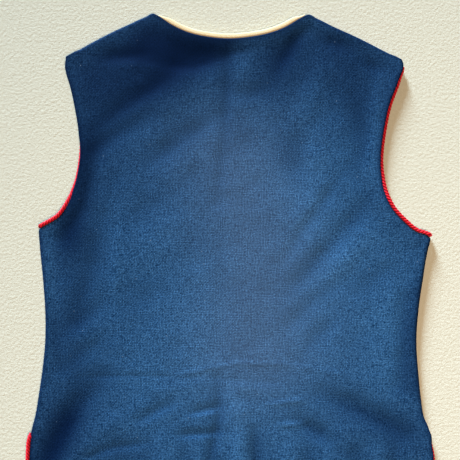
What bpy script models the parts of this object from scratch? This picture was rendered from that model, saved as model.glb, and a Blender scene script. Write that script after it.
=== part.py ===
"""Folk vest of navy wool cloth, laid face down on a flat surface with its back uppermost.

The back is one piece with soft folds. Two fronts lie under it and meet at the centre front.
Red twisted cord edges the armholes, the side vents and the hem, and a cream band binds the neck.
X runs across the vest, Y up its length to the neck, and Z up from the surface that it lies on.
Lengths are in millimetres until a mesh is made.
"""
import math

import bpy
import numpy as np

MM = 0.001
LEFT, RIGHT = -1, 1

# Cloth and trim.
WALL = 2.6            # wool cloth with its lining
GAP = 0.3             # between pieces that touch
CORD = 4.8            # diameter of the twisted cord
BAND_WIDTH = 6.0
BAND_WALL = 2.2
BAND_END_WIDTH = 1.6
BAND_WIDENS_OVER = 20.0
BAND_BELOW = 0.3      # its middle lies this far below that of the cloth beside it
BAND_DROOP = 1.2      # its free edge hangs this much lower
BAND_SAMPLES = 90
BAND_ENDS = {LEFT: -87.0, RIGHT: 89.5}
CORD_SIDES = 2        # bevel resolution, which gives eight sides

# Heights of a wall's middle above the surface.
FRONT_MIDDLE = WALL / 2
BACK_FIELD = 6.6      # the back, where it lies over the fronts
FREE_EDGE = 7.7       # armholes, vents and hem of the back
NECK_EDGE = 8.2
SEAM_RADIUS = 3.0     # round a folded side or shoulder, in the middle of the wall
SEAM_LEVEL = 4.3      # where the back meets a front at that fold
CLEAR_OF_FLOOR = 0.1  # trim that bears no weight
FRONT_CORD = CORD / 2 + CLEAR_OF_FLOOR
CLEAR_OF_FRONTS = 0.05
DEEPEST_TROUGH = BACK_FIELD - (WALL + GAP + WALL / 2) - CLEAR_OF_FRONTS

# How an edge meets its neighbours.
BESIDE_EDGE = CORD / 2 + GAP      # from the cloth's edge to the middle of its cord
TUCKED = CORD / 2 + 0.2           # how far a cord that is wholly rolled under lies inside the edge
TURN_BACK = 4.5                   # where the armhole's cord starts to turn round the underarm
BELOW_VENT_TOP = 5.0              # the last row of the vent lies this far below its top
SHORT_OF_ROW = 1.5                # where the vent's cord ends, below that row
INSIDE_SEAM = 0.8                 # the underarm's corner, from the folded seam beside it
EDGE_REACH = 15.0                 # width over which the edges level the folds beside them
HEM_LIFT = 1.4                    # the back's hem lies over the fronts' cords
HEM_LIFT_REACH = 24.0
SHOULDER_SLOPE = 1.12             # length of the shoulder's slope over its run across
NECK_RISE_WITHIN = 130.0          # the neck's edge stands higher within this distance of the centre
NECK_RISE_OVER = 40.0
SEAM_BEFORE_NECK = 2.0            # the shoulder's fold starts this far inside the neck's point
SEAM_BLEND = 12.0
TIP_BLEND = 14.0
SEAM_END_FOLD = 0.6               # how far the side seam is folded in its first and last row
SHARPEST_MITRE = 0.6

# How a cord rolls under its edge as the share grows: it drops, swings below it, then tucks in.
DROPPED_BY = 0.15
SWING_FROM, SWING_OVER = 0.1, 0.6
TUCK_FROM, TUCK_OVER = 0.7, 0.3

# Rows and columns of the cloth's mesh.
VENT_ROWS = 8
SIDE_ROWS = 14
ARMHOLE_ROWS = 18
BACK_COLUMNS = 34
FRONT_COLUMNS = 8
ROLL_ANGLES = (12, 30, 60, 90)   # degrees round the fold at a seam
BESIDE_ROLL = 8.0                # width of the strip inside the fold

# Outline seen from above, cord included: up from the hem, out from the centre line.
OUTLINE = {
    LEFT: {
        "vent": [(0, 246), (30, 245.6), (60, 244.8), (80, 243.8), (88, 243), (92, 241.4), (96, 238.6)],
        "side": [(96, 238.6), (104, 236.4), (120, 232.8), (144, 229), (168, 225.5), (204, 222), (240, 222),
                 (276, 224.5), (312, 228), (338, 229.8)],
        "armhole": [(342.6, 230.2), (346.3, 224), (351.6, 214.4), (356, 208), (362.3, 202.7), (372, 197),
                    (396, 186.8), (420, 182), (438, 180.5), (456, 181.2), (480, 185), (504, 190),
                    (530, 197), (543, 196)],
    },
    RIGHT: {
        "vent": [(0, 247), (30, 246.6), (60, 245.3), (70, 244.4), (76, 243), (81, 241.8), (87, 241), (96, 239.4)],
        "side": [(96, 239.4), (104, 236.2), (114, 232), (132, 229), (168, 225.3), (204, 223.2), (240, 225.6),
                 (276, 230.6), (312, 236.6), (327, 240.4)],
        "armhole": [(330.8, 241), (335.6, 235.8), (337.8, 228.2), (341.5, 220.8), (349, 212.3), (356.4, 204.7),
                    (366, 196.8), (384, 188.6), (408, 184.2), (424, 183.6), (440, 185), (460, 188),
                    (484, 193.2), (508, 202), (520, 205.8), (529, 208.6), (535, 208.4), (539.5, 205.6)],
    },
}

# Shoulders and back neck from the left shoulder's tip to the right one's: across, up.
TOP_LINE = [
    (-200, 541), (-176, 555.3), (-146, 571.4), (-117, 585), (-101, 592.2), (-92, 594.8),
    (-84, 590.6), (-69, 580.8), (-50, 572.3), (-25, 566.8), (0, 565), (26, 567.4),
    (46, 571.4), (65, 578.4), (84, 589.4), (93.5, 593.6), (103, 590.4), (122, 581),
    (151, 567.8), (180, 553), (199, 543), (212, 536),
]
NECK_POINT = {LEFT: 92.0, RIGHT: 93.5}

# How far a cord has rolled under the cloth's edge: up from the hem, share rolled.
CORD_ROLLED_UNDER = {
    LEFT: {
        "vent": [(0, 0.0), (96, 0.0)],
        "armhole": [(338, 0.0), (366, 0.0), (384, 0.48), (396, 0.58), (408, 0.68), (420, 0.72), (432, 0.81),
                    (442, 0.87), (450, 0.95), (462, 1.0)],
    },
    RIGHT: {
        "vent": [(0, 0.0), (40, 0.35), (60, 0.52), (72, 0.72), (84, 0.85), (96, 0.95)],
        "armhole": [(329, 0.0), (372, 0.0), (396, 0.3), (420, 0.42), (492, 0.45), (515, 0.5), (530, 0.7),
                    (545, 0.85)],
    },
}

# Fronts, which lie hidden under the back.
FRONT_HEM_UP = 7.0
FRONT_EDGE_OUT = 0.6             # half the gap at the centre front
NECK_DEPTH_UP = 356.0            # the point of the front neck, above the hem
FRONT_ARMHOLE_DEEPER = 10.0
DEEPER_AFTER = 70.0              # reached this far above the underarm
SHALLOWER_FROM_TIP = 50.0        # and less again near the shoulder's tip, by this share
SHALLOWER_BY = 0.45
NECK_WIDER = 3.0                 # the front's neck starts this far outside the back's
FRONT_NECK_BOW = [(34, 424), (72, 512)]
# How far the front's vent lies outside the back's: up from the hem, outward.
FRONT_VENT_OUT = {
    LEFT: [(0, 2.6), (60, 1.3), (96, 0.0)],
    RIGHT: [(0, -5.4), (92, -5.4), (96, 0.0)],
}

# Folds of the back. A ridge has a height above zero, a trough below it. Upper and lower are the
# widths of the fold's two flanks, on the neck's side and on the hem's side of its line.
FOLD_COLUMNS = ("line", "upper", "lower", "height")
FOLDS = [
    # below the left shoulder: a trough, the ridge under it and a second trough
    ([(-150, 470), (-90, 505), (-44, 532), (-10, 552)], 30, 20, -1.7),
    ([(-178, 425), (-136, 452), (-96, 474)], 13, 13, -1.1),
    ([(-112, 560), (-60, 566), (-14, 558)], 12, 16, 0.8),
    ([(-138, 424), (-90, 452), (-30, 494)], 17, 17, 1.2),
    ([(-128, 380), (-74, 408), (-18, 452)], 17, 15, -0.9),
    ([(-100, 360), (-50, 392)], 14, 14, 0.5),
    ([(-176, 532), (-140, 548), (-110, 556)], 14, 10, -0.9),
    # right of the neck
    ([(96, 574), (74, 540), (52, 508), (28, 484), (6, 470)], 15, 15, -1.2),
    ([(112, 566), (146, 546), (176, 520)], 13, 13, -1.0),
    ([(60, 440), (90, 480), (112, 528)], 14, 14, 0.6),
    ([(8, 520), (26, 540)], 12, 12, 0.5),
    # beside the right armhole
    ([(146, 512), (154, 456), (146, 404)], 12, 14, -0.8),
    ([(178, 520), (174, 460), (167, 412), (178, 372)], 7, 8, 0.9),
    ([(66, 456), (74, 396)], 20, 20, -0.9),
    ([(104, 440), (98, 404)], 14, 14, 0.5),
    # drag lines from the right underarm
    ([(170, 380), (134, 334), (98, 294), (70, 262)], 12, 12, -1.2),
    ([(186, 350), (148, 314), (120, 280)], 12, 12, 0.6),
    ([(140, 414), (98, 352), (60, 296)], 8, 8, -0.6),
    ([(112, 392), (76, 340)], 10, 10, 0.45),
    ([(142, 284), (98, 252), (70, 222)], 11, 11, -0.7),
    ([(124, 228), (84, 190)], 11, 11, -0.7),
    ([(196, 300), (150, 262)], 13, 13, -0.5),
    # left side and left underarm
    ([(-196, 326), (-178, 368), (-168, 430)], 13, 13, -1.0),
    ([(-186, 232), (-164, 290), (-154, 350)], 12, 12, -0.8),
    ([(-138, 256), (-134, 330)], 7, 9, 0.6),
    ([(-120, 300), (-84, 330), (-56, 356)], 24, 22, 0.6),
    ([(-120, 346), (-70, 376)], 14, 14, -0.4),
    ([(-196, 214), (-150, 250)], 11, 10, -0.7),
    ([(-196, 176), (-148, 208)], 10, 10, -0.5),
    ([(-118, 250), (-70, 272)], 16, 16, -0.4),
    # broad troughs to the vents
    ([(-150, 168), (-188, 124), (-216, 70)], 20, 18, -1.5),
    ([(-112, 124), (-160, 92), (-180, 60)], 14, 14, 0.7),
    ([(104, 150), (150, 132), (206, 96)], 15, 20, -1.4),
    ([(56, 122), (108, 98), (140, 60)], 15, 15, -0.9),
    ([(150, 92), (190, 66)], 14, 14, 0.6),
    # creases over the waist
    ([(-60, 166), (-20, 174), (10, 179), (60, 178), (92, 176)], 3.2, 5, 0.34),
    ([(-168, 166), (-110, 173), (-60, 168)], 3.5, 5, 0.16),
    ([(92, 176), (140, 168)], 3.5, 6, 0.15),
    ([(-46, 116), (-30, 119), (-14, 119)], 4, 4, 0.5),
    ([(50, 132), (84, 138)], 3.2, 4, 0.45),
    ([(58, 104), (80, 107)], 3.5, 4, 0.35),
    ([(-56, 97), (-36, 100), (-16, 102)], 5, 4, -0.5),
    ([(-182, 74), (-140, 84), (-96, 88)], 6, 6, -0.5),
    ([(-74, 128), (-30, 134)], 6, 6, -0.4),
    ([(18, 150), (60, 156)], 6, 6, -0.3),
    ([(-100, 144), (-40, 152)], 6, 6, 0.25),
    # down the centre back
    ([(-3, 560), (-5, 480), (-10, 420), (-16, 370)], 7, 7, -0.7),
    ([(-16, 360), (-11, 300), (-10, 200)], 8, 8, -0.35),
    ([(-14, 152), (-11, 110), (-14, 70)], 8, 8, -1.1),
    ([(6, 140), (10, 100), (10, 60)], 8, 9, 0.9),
    # inside the rolled sides
    ([(208, 262), (209, 200), (203, 150)], 9, 9, -1.0),
    ([(-208, 300), (-210, 230), (-206, 170)], 9, 9, -0.7),
]

# Soft waves that widen towards the hem: across, half width, height.
HEM_WAVES = [(-190, 20, 0.6), (-130, 22, -0.6), (-72, 20, 0.5), (-21, 8, -0.6), (12, 10, 0.9),
             (31, 9, -1.1), (72, 16, 0.9), (92, 9, -0.7), (122, 14, 0.8), (160, 14, -0.6),
             (204, 11, 0.6)]
HEM_WAVES_UP = 110.0
HEM_WAVES_FULL = 1.6      # above 1, the waves are whole some way above the hem

# A fold's two ends, and the change from its upper flank to its lower one.
FOLD_END_SHARE = 0.55
FOLD_END_LENGTH = 0.3
FLANK_BLEND = 6.0


def smooth_step(value):
    """Eased 0 to 1."""
    value = min(max(value, 0.0), 1.0)
    return value * value * (3.0 - 2.0 * value)


def dense_curve(points, per_span=24):
    """A centripetal Catmull-Rom curve through the points, finely sampled."""
    pts = [np.array(p, dtype=float) for p in points]
    pts = [2 * pts[0] - pts[1]] + pts + [2 * pts[-1] - pts[-2]]
    samples = []
    for p0, p1, p2, p3 in zip(pts, pts[1:], pts[2:], pts[3:]):
        t0 = 0.0
        t1 = t0 + math.sqrt(np.linalg.norm(p1 - p0))
        t2 = t1 + math.sqrt(np.linalg.norm(p2 - p1))
        t3 = t2 + math.sqrt(np.linalg.norm(p3 - p2))
        for step in range(per_span):
            t = t1 + (t2 - t1) * step / per_span
            a1 = (t1 - t) / (t1 - t0) * p0 + (t - t0) / (t1 - t0) * p1
            a2 = (t2 - t) / (t2 - t1) * p1 + (t - t1) / (t2 - t1) * p2
            a3 = (t3 - t) / (t3 - t2) * p2 + (t - t2) / (t3 - t2) * p3
            b1 = (t2 - t) / (t2 - t0) * a1 + (t - t0) / (t2 - t0) * a2
            b2 = (t3 - t) / (t3 - t1) * a2 + (t - t1) / (t3 - t1) * a3
            samples.append((t2 - t) / (t2 - t1) * b1 + (t - t1) / (t2 - t1) * b2)
    samples.append(pts[-2])
    return np.array(samples)


def lengths_along(curve):
    """Distance of each sample from the curve's start."""
    steps = np.linalg.norm(np.diff(curve, axis=0), axis=1)
    return np.concatenate([[0.0], np.cumsum(steps)])


def points_at(curve, distances):
    """Points of a finely sampled curve at these distances along it."""
    along = lengths_along(curve)
    return np.column_stack([np.interp(distances, along, curve[:, k]) for k in range(curve.shape[1])])


def inward_normals(points, side):
    """Unit normals in plan, towards the cloth, of an edge that runs up the given side."""
    tangents = np.gradient(points, axis=0)
    tangents /= np.linalg.norm(tangents, axis=1)[:, None]
    return np.column_stack([-tangents[:, 1], tangents[:, 0]]) * side


TOP_SAMPLES = dense_curve(TOP_LINE)


def top_up(across):
    """Height above the hem of the outer line of shoulders and neck."""
    return float(np.interp(across, TOP_SAMPLES[:, 0], TOP_SAMPLES[:, 1]))


def on_shoulder(across):
    """1 along a shoulder seam, 0 in the neck and at the armhole's edge."""
    side = RIGHT if across > 0 else LEFT
    tip = OUTLINE[side]["armhole"][-1][1]
    beyond_neck = smooth_step((abs(across) - NECK_POINT[side] + SEAM_BEFORE_NECK) / SEAM_BLEND)
    before_tip = smooth_step((tip - CORD - abs(across)) / TIP_BLEND)
    return beyond_neck * before_tip


def top_edge(across):
    """Height above the hem of the middle of the wall, along shoulders and neck."""
    return top_up(across) - on_shoulder(across) * WALL / 2 * SHOULDER_SLOPE


def roll_distances():
    """Distances, from the folded edge inward, of the rows that round the fold."""
    first = 1 - math.cos(math.radians(ROLL_ANGLES[0]))
    steps = [SEAM_RADIUS * (1 - math.cos(math.radians(a)) - first) for a in ROLL_ANGLES]
    return steps + [BESIDE_ROLL]


ROLL = roll_distances()
ROLL_START = SEAM_RADIUS * (1 - math.cos(math.radians(ROLL_ANGLES[0])))


def roll_drop(distance):
    """How far the middle of the wall has turned down at this distance from the fold."""
    reach = min(distance + ROLL_START, SEAM_RADIUS)
    return SEAM_RADIUS - math.sqrt(SEAM_RADIUS ** 2 - (SEAM_RADIUS - reach) ** 2)


def cord_beside_edge(rolled):
    """Where the cord's centre lies from the middle of the cloth's edge: outward, downward."""
    drop = WALL / 2 * min(rolled / DROPPED_BY, 1.0)
    angle = math.radians(90) * smooth_step((rolled - SWING_FROM) / SWING_OVER)
    tucked = TUCKED * smooth_step((rolled - TUCK_FROM) / TUCK_OVER)
    return BESIDE_EDGE * math.cos(angle) - tucked, drop + BESIDE_EDGE * math.sin(angle)


def read_off(table, places):
    """Values of a short two-column table at these places."""
    at = [row[0] for row in table]
    values = [row[1] for row in table]
    return np.interp(places, at, values)


def cord_offsets(rolled_under, outline, front):
    """The cord's offset (outward, downward) at each point; a front's cord is never rolled under."""
    rolled = read_off(rolled_under, outline[:, 1]) * (0.0 if front else 1.0)
    return [cord_beside_edge(float(share)) for share in rolled]


def deeper_share(along, total):
    """How much of its extra depth a front's armhole has at this distance from the underarm."""
    near_tip = smooth_step((along - total + SHALLOWER_FROM_TIP) / SHALLOWER_FROM_TIP)
    return smooth_step(along / DEEPER_AFTER) * (1 - SHALLOWER_BY * near_tip)


def edge_rows(side, front):
    """The cloth's edge up one side, and for each row how far the seam is folded.

    Gives points (x, y) from the hem to the shoulder's tip, the fold's share of each row, and
    the cord's offset (outward, downward) at each row.
    """
    lines = {name: dense_curve([(side * out, up) for up, out in rows]) for name, rows in OUTLINE[side].items()}
    beside_cord = CORD + GAP
    points, folded, cord_at = [], [], []

    length = lengths_along(lines["vent"])[-1]
    vent = points_at(lines["vent"], list(np.linspace(0, length - BELOW_VENT_TOP, VENT_ROWS)) + [length])
    offsets = cord_offsets(CORD_ROLLED_UNDER[side]["vent"], vent, front)
    inset = np.array([out + CORD / 2 for out, down in offsets])
    if front:
        inset -= read_off(FRONT_VENT_OUT[side], vent[:, 1])
        vent[:, 1] += FRONT_HEM_UP * (1 - vent[:, 1] / vent[-1, 1])
    inset[-1] = WALL / 2
    vent = vent + inward_normals(vent, side) * inset[:, None]
    vent[0, 1] = beside_cord + (FRONT_HEM_UP if front else 0.0)
    points.extend(vent)
    folded.extend([0.0] * len(vent))
    cord_at.extend(offsets)

    distances = np.linspace(0, lengths_along(lines["side"])[-1], SIDE_ROWS + 1)
    seam = points_at(lines["side"], distances)
    seam = seam + inward_normals(seam, side) * (WALL / 2 + ROLL_START)
    points.extend(seam[1:-1])
    folded.extend([SEAM_END_FOLD if row in (0, SIDE_ROWS - 2) else 1.0 for row in range(SIDE_ROWS - 1)])
    cord_at.extend([(BESIDE_EDGE, 0.0)] * (SIDE_ROWS - 1))

    total = lengths_along(lines["armhole"])[-1]
    rows = list(np.linspace(0, total - ROLL[-1], ARMHOLE_ROWS + 1)) + [total - d for d in reversed(ROLL[:-1])]
    armhole = points_at(lines["armhole"], rows)
    offsets = cord_offsets(CORD_ROLLED_UNDER[side]["armhole"], armhole, front)
    inset = np.array([max(0.0, out + CORD / 2) for out, down in offsets])
    if front:
        inset += FRONT_ARMHOLE_DEEPER * np.array([deeper_share(along, total) for along in rows])
    armhole = armhole + inward_normals(armhole, side) * inset[:, None]
    armhole[0, 0] = seam[-1][0] - side * INSIDE_SEAM
    tip_up = top_edge(armhole[-1, 0])
    for row in range(ARMHOLE_ROWS, len(armhole)):
        armhole[row, 1] = tip_up - (total - rows[row])
    points.extend(armhole)
    folded.extend([0.0] * len(armhole))
    cord_at.extend(offsets)
    return np.array(points), folded, cord_at


def height_share(edge, row):
    """How far up its edge a row lies, 0 at the hem and 1 at the shoulder's tip."""
    return (edge[row][1] - edge[0][1]) / (edge[-1][1] - edge[0][1])


def patch_point(s, t, bottom, top, left, right, corners):
    """A point of the surface spanned by four edges."""
    edges = (1 - t) * bottom + t * top + (1 - s) * left + s * right
    bilinear = (1 - s) * (1 - t) * corners[0] + s * (1 - t) * corners[1]
    bilinear = bilinear + (1 - s) * t * corners[2] + s * t * corners[3]
    return edges - bilinear


def line_distance(x, y, line):
    """Distance from the nearest point of a line of straight runs, how far above it, and share along."""
    best, above, along, passed = math.inf, 0.0, 0.0, 0.0
    for (ax, ay), (bx, by) in zip(line, line[1:]):
        dx, dy = bx - ax, by - ay
        length = math.hypot(dx, dy)
        share = min(max(((x - ax) * dx + (y - ay) * dy) / length ** 2, 0.0), 1.0)
        away = math.hypot(x - ax - share * dx, y - ay - share * dy)
        if away < best:
            best, above, along = away, y - ay - share * dy, passed + share * length
        passed += length
    return best, above, along / passed


def fold_height(x, y):
    """Height that the folds add to the back at a point, before the edges level it."""
    total = 0.0
    for row in FOLDS:
        fold = dict(zip(FOLD_COLUMNS, row))
        away, above, along = line_distance(x, y, fold["line"])
        width = fold["lower"] + (fold["upper"] - fold["lower"]) * smooth_step(0.5 + above / FLANK_BLEND)
        fade = FOLD_END_SHARE + (1 - FOLD_END_SHARE) * smooth_step(min(along, 1 - along) / FOLD_END_LENGTH)
        total += fold["height"] * fade * math.exp(-(away / width) ** 2)
    fan = smooth_step(HEM_WAVES_FULL * max(0.0, 1 - y / HEM_WAVES_UP))
    for across, half_width, height in HEM_WAVES:
        total += height * fan * math.exp(-((x - across) / half_width) ** 2)
    if total < 0:
        total = -DEEPEST_TROUGH * math.tanh(-total / DEEPEST_TROUGH)
    return total


def back_height(x, y, from_side, side_folded, from_top, top_folded):
    """Height of the middle of the back's wall."""
    height = BACK_FIELD + fold_height(x, y) + HEM_LIFT * math.exp(-(y / HEM_LIFT_REACH) ** 2)
    side_edge = FREE_EDGE + side_folded * (SEAM_LEVEL + SEAM_RADIUS - FREE_EDGE)
    height += (side_edge - height) * math.exp(-(from_side / EDGE_REACH) ** 2)
    free_top = FREE_EDGE + (NECK_EDGE - FREE_EDGE) * smooth_step((NECK_RISE_WITHIN - abs(x)) / NECK_RISE_OVER)
    top_level = free_top + top_folded * (SEAM_LEVEL + SEAM_RADIUS - free_top)
    height += (top_level - height) * math.exp(-(from_top / EDGE_REACH) ** 2)
    height -= side_folded * roll_drop(from_side)
    height -= top_folded * roll_drop(from_top)
    return height


def back_grid():
    """Points of the middle of the back's wall, rows from the hem up, columns from left to right."""
    left, left_folded, _ = edge_rows(LEFT, front=False)
    right, right_folded, _ = edge_rows(RIGHT, front=False)
    corners = (left[0], right[0], left[-1], right[-1])
    grid = []
    for row in range(len(left)):
        width = right[row][0] - left[row][0]
        t = (height_share(left, row) + height_share(right, row)) / 2
        inner = np.linspace(ROLL[-1], width - ROLL[-1], BACK_COLUMNS + 1)
        across = ROLL[:-1] + list(inner) + [width - d for d in reversed(ROLL[:-1])]
        points = []
        for distance in across:
            s = distance / width
            bottom = corners[0] + s * (corners[1] - corners[0])
            top_x = corners[2][0] + s * (corners[3][0] - corners[2][0])
            top = np.array((top_x, top_edge(top_x)))
            x, y = patch_point(s, t, bottom, top, left[row], right[row], corners)
            nearest_left = distance < width / 2
            folded = left_folded[row] if nearest_left else right_folded[row]
            from_side = min(distance, width - distance)
            from_top = (1 - t) * (top[1] - bottom[1])
            z = back_height(x, y, from_side, folded, from_top, on_shoulder(top_x))
            points.append((x, y, z))
        grid.append(points)
    return grid


def front_neck_line(side):
    """Inner edge of a front above the neck's point, up to the shoulder."""
    start = np.array((side * FRONT_EDGE_OUT, NECK_DEPTH_UP))
    neck_x = side * (NECK_POINT[side] + NECK_WIDER)
    end = np.array((neck_x, top_edge(neck_x)))
    return dense_curve([start] + [(side * out, up) for out, up in FRONT_NECK_BOW] + [end])


def front_grid(side):
    """Points of the middle of a front's wall, rows from the hem up, columns from centre to side."""
    outer, folded, _ = edge_rows(side, front=True)
    neck = front_neck_line(side)
    centre_rows = VENT_ROWS + SIDE_ROWS
    rise = outer[centre_rows:, 1] - outer[centre_rows, 1]
    neck_points = points_at(neck, rise / rise[-1] * lengths_along(neck)[-1])
    low = FRONT_HEM_UP + CORD + GAP
    share = (outer[:centre_rows, 1] - outer[0, 1]) / (outer[centre_rows, 1] - outer[0, 1])
    centre = [(side * FRONT_EDGE_OUT, low + s * (NECK_DEPTH_UP - low)) for s in share]
    inner = np.array(centre + [tuple(p) for p in neck_points])
    corners = (inner[0], outer[0], inner[-1], outer[-1])
    grid = []
    for row in range(len(outer)):
        width = abs(outer[row][0] - inner[row][0])
        t = height_share(outer, row)
        across = list(np.linspace(0, width - ROLL[-1], FRONT_COLUMNS + 1))
        across += [width - d for d in reversed(ROLL[:-1])]
        points = []
        for distance in across:
            s = distance / width
            bottom = corners[0] + s * (corners[1] - corners[0])
            top_x = corners[2][0] + s * (corners[3][0] - corners[2][0])
            top = np.array((top_x, top_edge(top_x)))
            x, y = patch_point(s, t, bottom, top, inner[row], outer[row], corners)
            from_top = (1 - t) * (top[1] - bottom[1])
            z = FRONT_MIDDLE + folded[row] * roll_drop(width - distance)
            z += on_shoulder(top_x) * roll_drop(from_top)
            points.append((x, y, z))
        grid.append(points)
    return grid


def material(name, colour, roughness):
    """A plain cloth finish."""
    finish = bpy.data.materials.new(name)
    finish.use_nodes = True
    shader = finish.node_tree.nodes["Principled BSDF"]
    shader.inputs["Base Color"].default_value = (*colour, 1.0)
    shader.inputs["Roughness"].default_value = roughness
    shader.inputs["Metallic"].default_value = 0.0
    return finish


def sheet_object(name, grid, wall, finish, collection):
    """A cloth wall: an open sheet through the grid's points, thickened both ways."""
    columns = len(grid[0])
    points = [(x * MM, y * MM, z * MM) for row in grid for x, y, z in row]
    faces = []
    for row in range(len(grid) - 1):
        for column in range(columns - 1):
            first = row * columns + column
            faces.append((first, first + 1, first + columns + 1, first + columns))
    mesh = bpy.data.meshes.new(name)
    mesh.from_pydata(points, [], faces)
    mesh.shade_smooth()
    piece = bpy.data.objects.new(name, mesh)
    mesh.materials.append(finish)
    thick = piece.modifiers.new("Wall", "SOLIDIFY")
    thick.thickness = wall * MM
    thick.offset = 0.0
    collection.objects.link(piece)
    return piece


def cord_object(name, points, finish, collection):
    """A cord along the points."""
    curve = bpy.data.curves.new(name, "CURVE")
    curve.dimensions = "3D"
    curve.bevel_depth = CORD / 2 * MM
    curve.bevel_resolution = CORD_SIDES
    curve.use_fill_caps = True
    spline = curve.splines.new("POLY")
    spline.points.add(len(points) - 1)
    for point, place in zip(spline.points, points):
        point.co = (place[0] * MM, place[1] * MM, place[2] * MM, 1.0)
    spline.use_smooth = True
    curve.materials.append(finish)
    piece = bpy.data.objects.new(name, curve)
    collection.objects.link(piece)
    return piece


def turn_between(last, first, outward, steps=5):
    """Points of a half circle from one run of cord to the next, bulging outward."""
    middle = (last + first) / 2
    half = (last - first) / 2
    radius = np.linalg.norm(half)
    outward = outward / np.linalg.norm(outward)
    angles = [math.pi * k / (steps + 1) for k in range(1, steps + 1)]
    return [middle + half * math.cos(a) + outward * radius * math.sin(a) for a in angles]


def armhole_run(side, grid, edge_column, front):
    """Centre of the cord along one panel's armhole, from the underarm to the shoulder."""
    start = VENT_ROWS + SIDE_ROWS
    edge = np.array([row[edge_column] for row in grid[start:]])
    _, _, offsets = edge_rows(side, front)
    offsets = offsets[start:]
    normals = -inward_normals(edge[:, :2], side)
    run = []
    for point, normal, (out, down) in zip(edge, normals, offsets):
        level = FRONT_CORD if front else point[2] - down
        run.append(np.array((point[0] + normal[0] * out, point[1] + normal[1] * out, level)))
    run = np.array(run[:ARMHOLE_ROWS + 1])
    along = lengths_along(run)
    return list(points_at(run, [TURN_BACK] + list(along[1:])))


def armhole_cord(side, back, front, finish, collection):
    """One cord down the back's armhole, round the underarm and up the front's armhole."""
    name = "cord_armhole_left" if side == LEFT else "cord_armhole_right"
    back_run = armhole_run(side, back, 0 if side == LEFT else -1, front=False)
    front_run = armhole_run(side, front, -1, front=True)
    underarm = turn_between(back_run[0], front_run[0], back_run[0] - back_run[1])
    points = back_run[::-1] + underarm + front_run
    return cord_object(name, points, finish, collection)


def edge_cord(name, edge, outward, offsets, level, finish, collection):
    """A cord beside a run of edge points, moved out and down by its offset at each."""
    points = []
    for place, away, (out, down) in zip(edge, outward, offsets):
        z = place[2] - down if level is None else level
        points.append((place[0] + away[0] * out, place[1] + away[1] * out, z))
    return cord_object(name, points, finish, collection)


def outward_of(edge, turning):
    """Unit normals in plan of a run of edge points; turning is 1 or -1 for the side they take."""
    plan = np.array(edge)[:, :2]
    before = plan - np.roll(plan, 1, axis=0)
    after = np.roll(plan, -1, axis=0) - plan
    before[0] = after[0]
    after[-1] = before[-1]
    before /= np.linalg.norm(before, axis=1)[:, None]
    after /= np.linalg.norm(after, axis=1)[:, None]
    normals = []
    for b, a in zip(before, after):
        mitre = np.array((b[1] + a[1], -b[0] - a[0])) * turning
        mitre /= np.linalg.norm(mitre)
        normals.append(mitre / max(SHARPEST_MITRE, float(mitre.dot((b[1] * turning, -b[0] * turning)))))
    return normals


def vent_edge(grid, column, side, front):
    """Edge points down a vent to the row above the hem, and the cord's offset at each."""
    _, _, offsets = edge_rows(side, front)
    rows = range(VENT_ROWS - 1, 0, -1)
    edge = [np.array(grid[row][column]) for row in rows]
    down = edge[1] - edge[0]
    edge[0] = edge[0] + down / np.linalg.norm(down) * SHORT_OF_ROW
    return edge, [offsets[row] for row in rows]


def hem_edge(points, close_to_corners):
    """A hem's edge points without those close to its corners, and the cord's offset at each."""
    edge = [point for k, point in enumerate(points) if k not in close_to_corners]
    return edge, [(BESIDE_EDGE, 0.0)] * len(edge)


def back_hem_cord(back, finish, collection):
    """One cord down the left vent, along the back's hem and up the right vent."""
    left, left_offsets = vent_edge(back, 0, LEFT, front=False)
    right, right_offsets = vent_edge(back, -1, RIGHT, front=False)
    last = len(back[0]) - 1
    hem, hem_offsets = hem_edge(back[0], (1, 2, last - 2, last - 1))
    edge = left + hem + right[::-1]
    offsets = left_offsets + hem_offsets + right_offsets[::-1]
    return edge_cord("cord_hem_back", edge, outward_of(edge, 1), offsets, None, finish, collection)


def front_hem_cord(side, front, finish, collection):
    """One cord down a vent and along a front's hem to the centre front."""
    name = "cord_hem_front_left" if side == LEFT else "cord_hem_front_right"
    vent, vent_offsets = vent_edge(front, -1, side, front=True)
    hem, hem_offsets = hem_edge(front[0][::-1], (1, 2))
    edge = vent + hem
    outward = outward_of(edge, -side)
    return edge_cord(name, edge, outward, vent_offsets + hem_offsets, FRONT_CORD, finish, collection)


def band_grid(edge, outward, widths, levels, droop):
    """Points of a band's middle, from beside an edge out to its free edge."""
    grid = []
    for place, away, width, level in zip(edge, outward, widths, levels):
        row = []
        for share in (0.0, 0.5, 1.0):
            reach = GAP + share * width
            row.append((place[0] + away[0] * reach, place[1] + away[1] * reach, level - droop * share ** 2))
        grid.append(row)
    return grid


def back_neck_band(back, finish, collection):
    """The cream band along the back neck, narrowing to the neck's points."""
    top = np.array(back[-1])
    top = points_at(top, np.linspace(0, lengths_along(top)[-1], BAND_SAMPLES))
    edge = [point for point in top if BAND_ENDS[LEFT] < point[0] < BAND_ENDS[RIGHT]]
    widths, levels = [], []
    for x, y, z in edge:
        from_end = min(x - BAND_ENDS[LEFT], BAND_ENDS[RIGHT] - x)
        widths.append(BAND_END_WIDTH + (BAND_WIDTH - BAND_END_WIDTH) * smooth_step(from_end / BAND_WIDENS_OVER))
        levels.append(z - BAND_BELOW)
    grid = band_grid(edge, outward_of(edge, -1), widths, levels, BAND_DROOP)
    return sheet_object("neck_band_back", grid, BAND_WALL, finish, collection)


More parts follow.
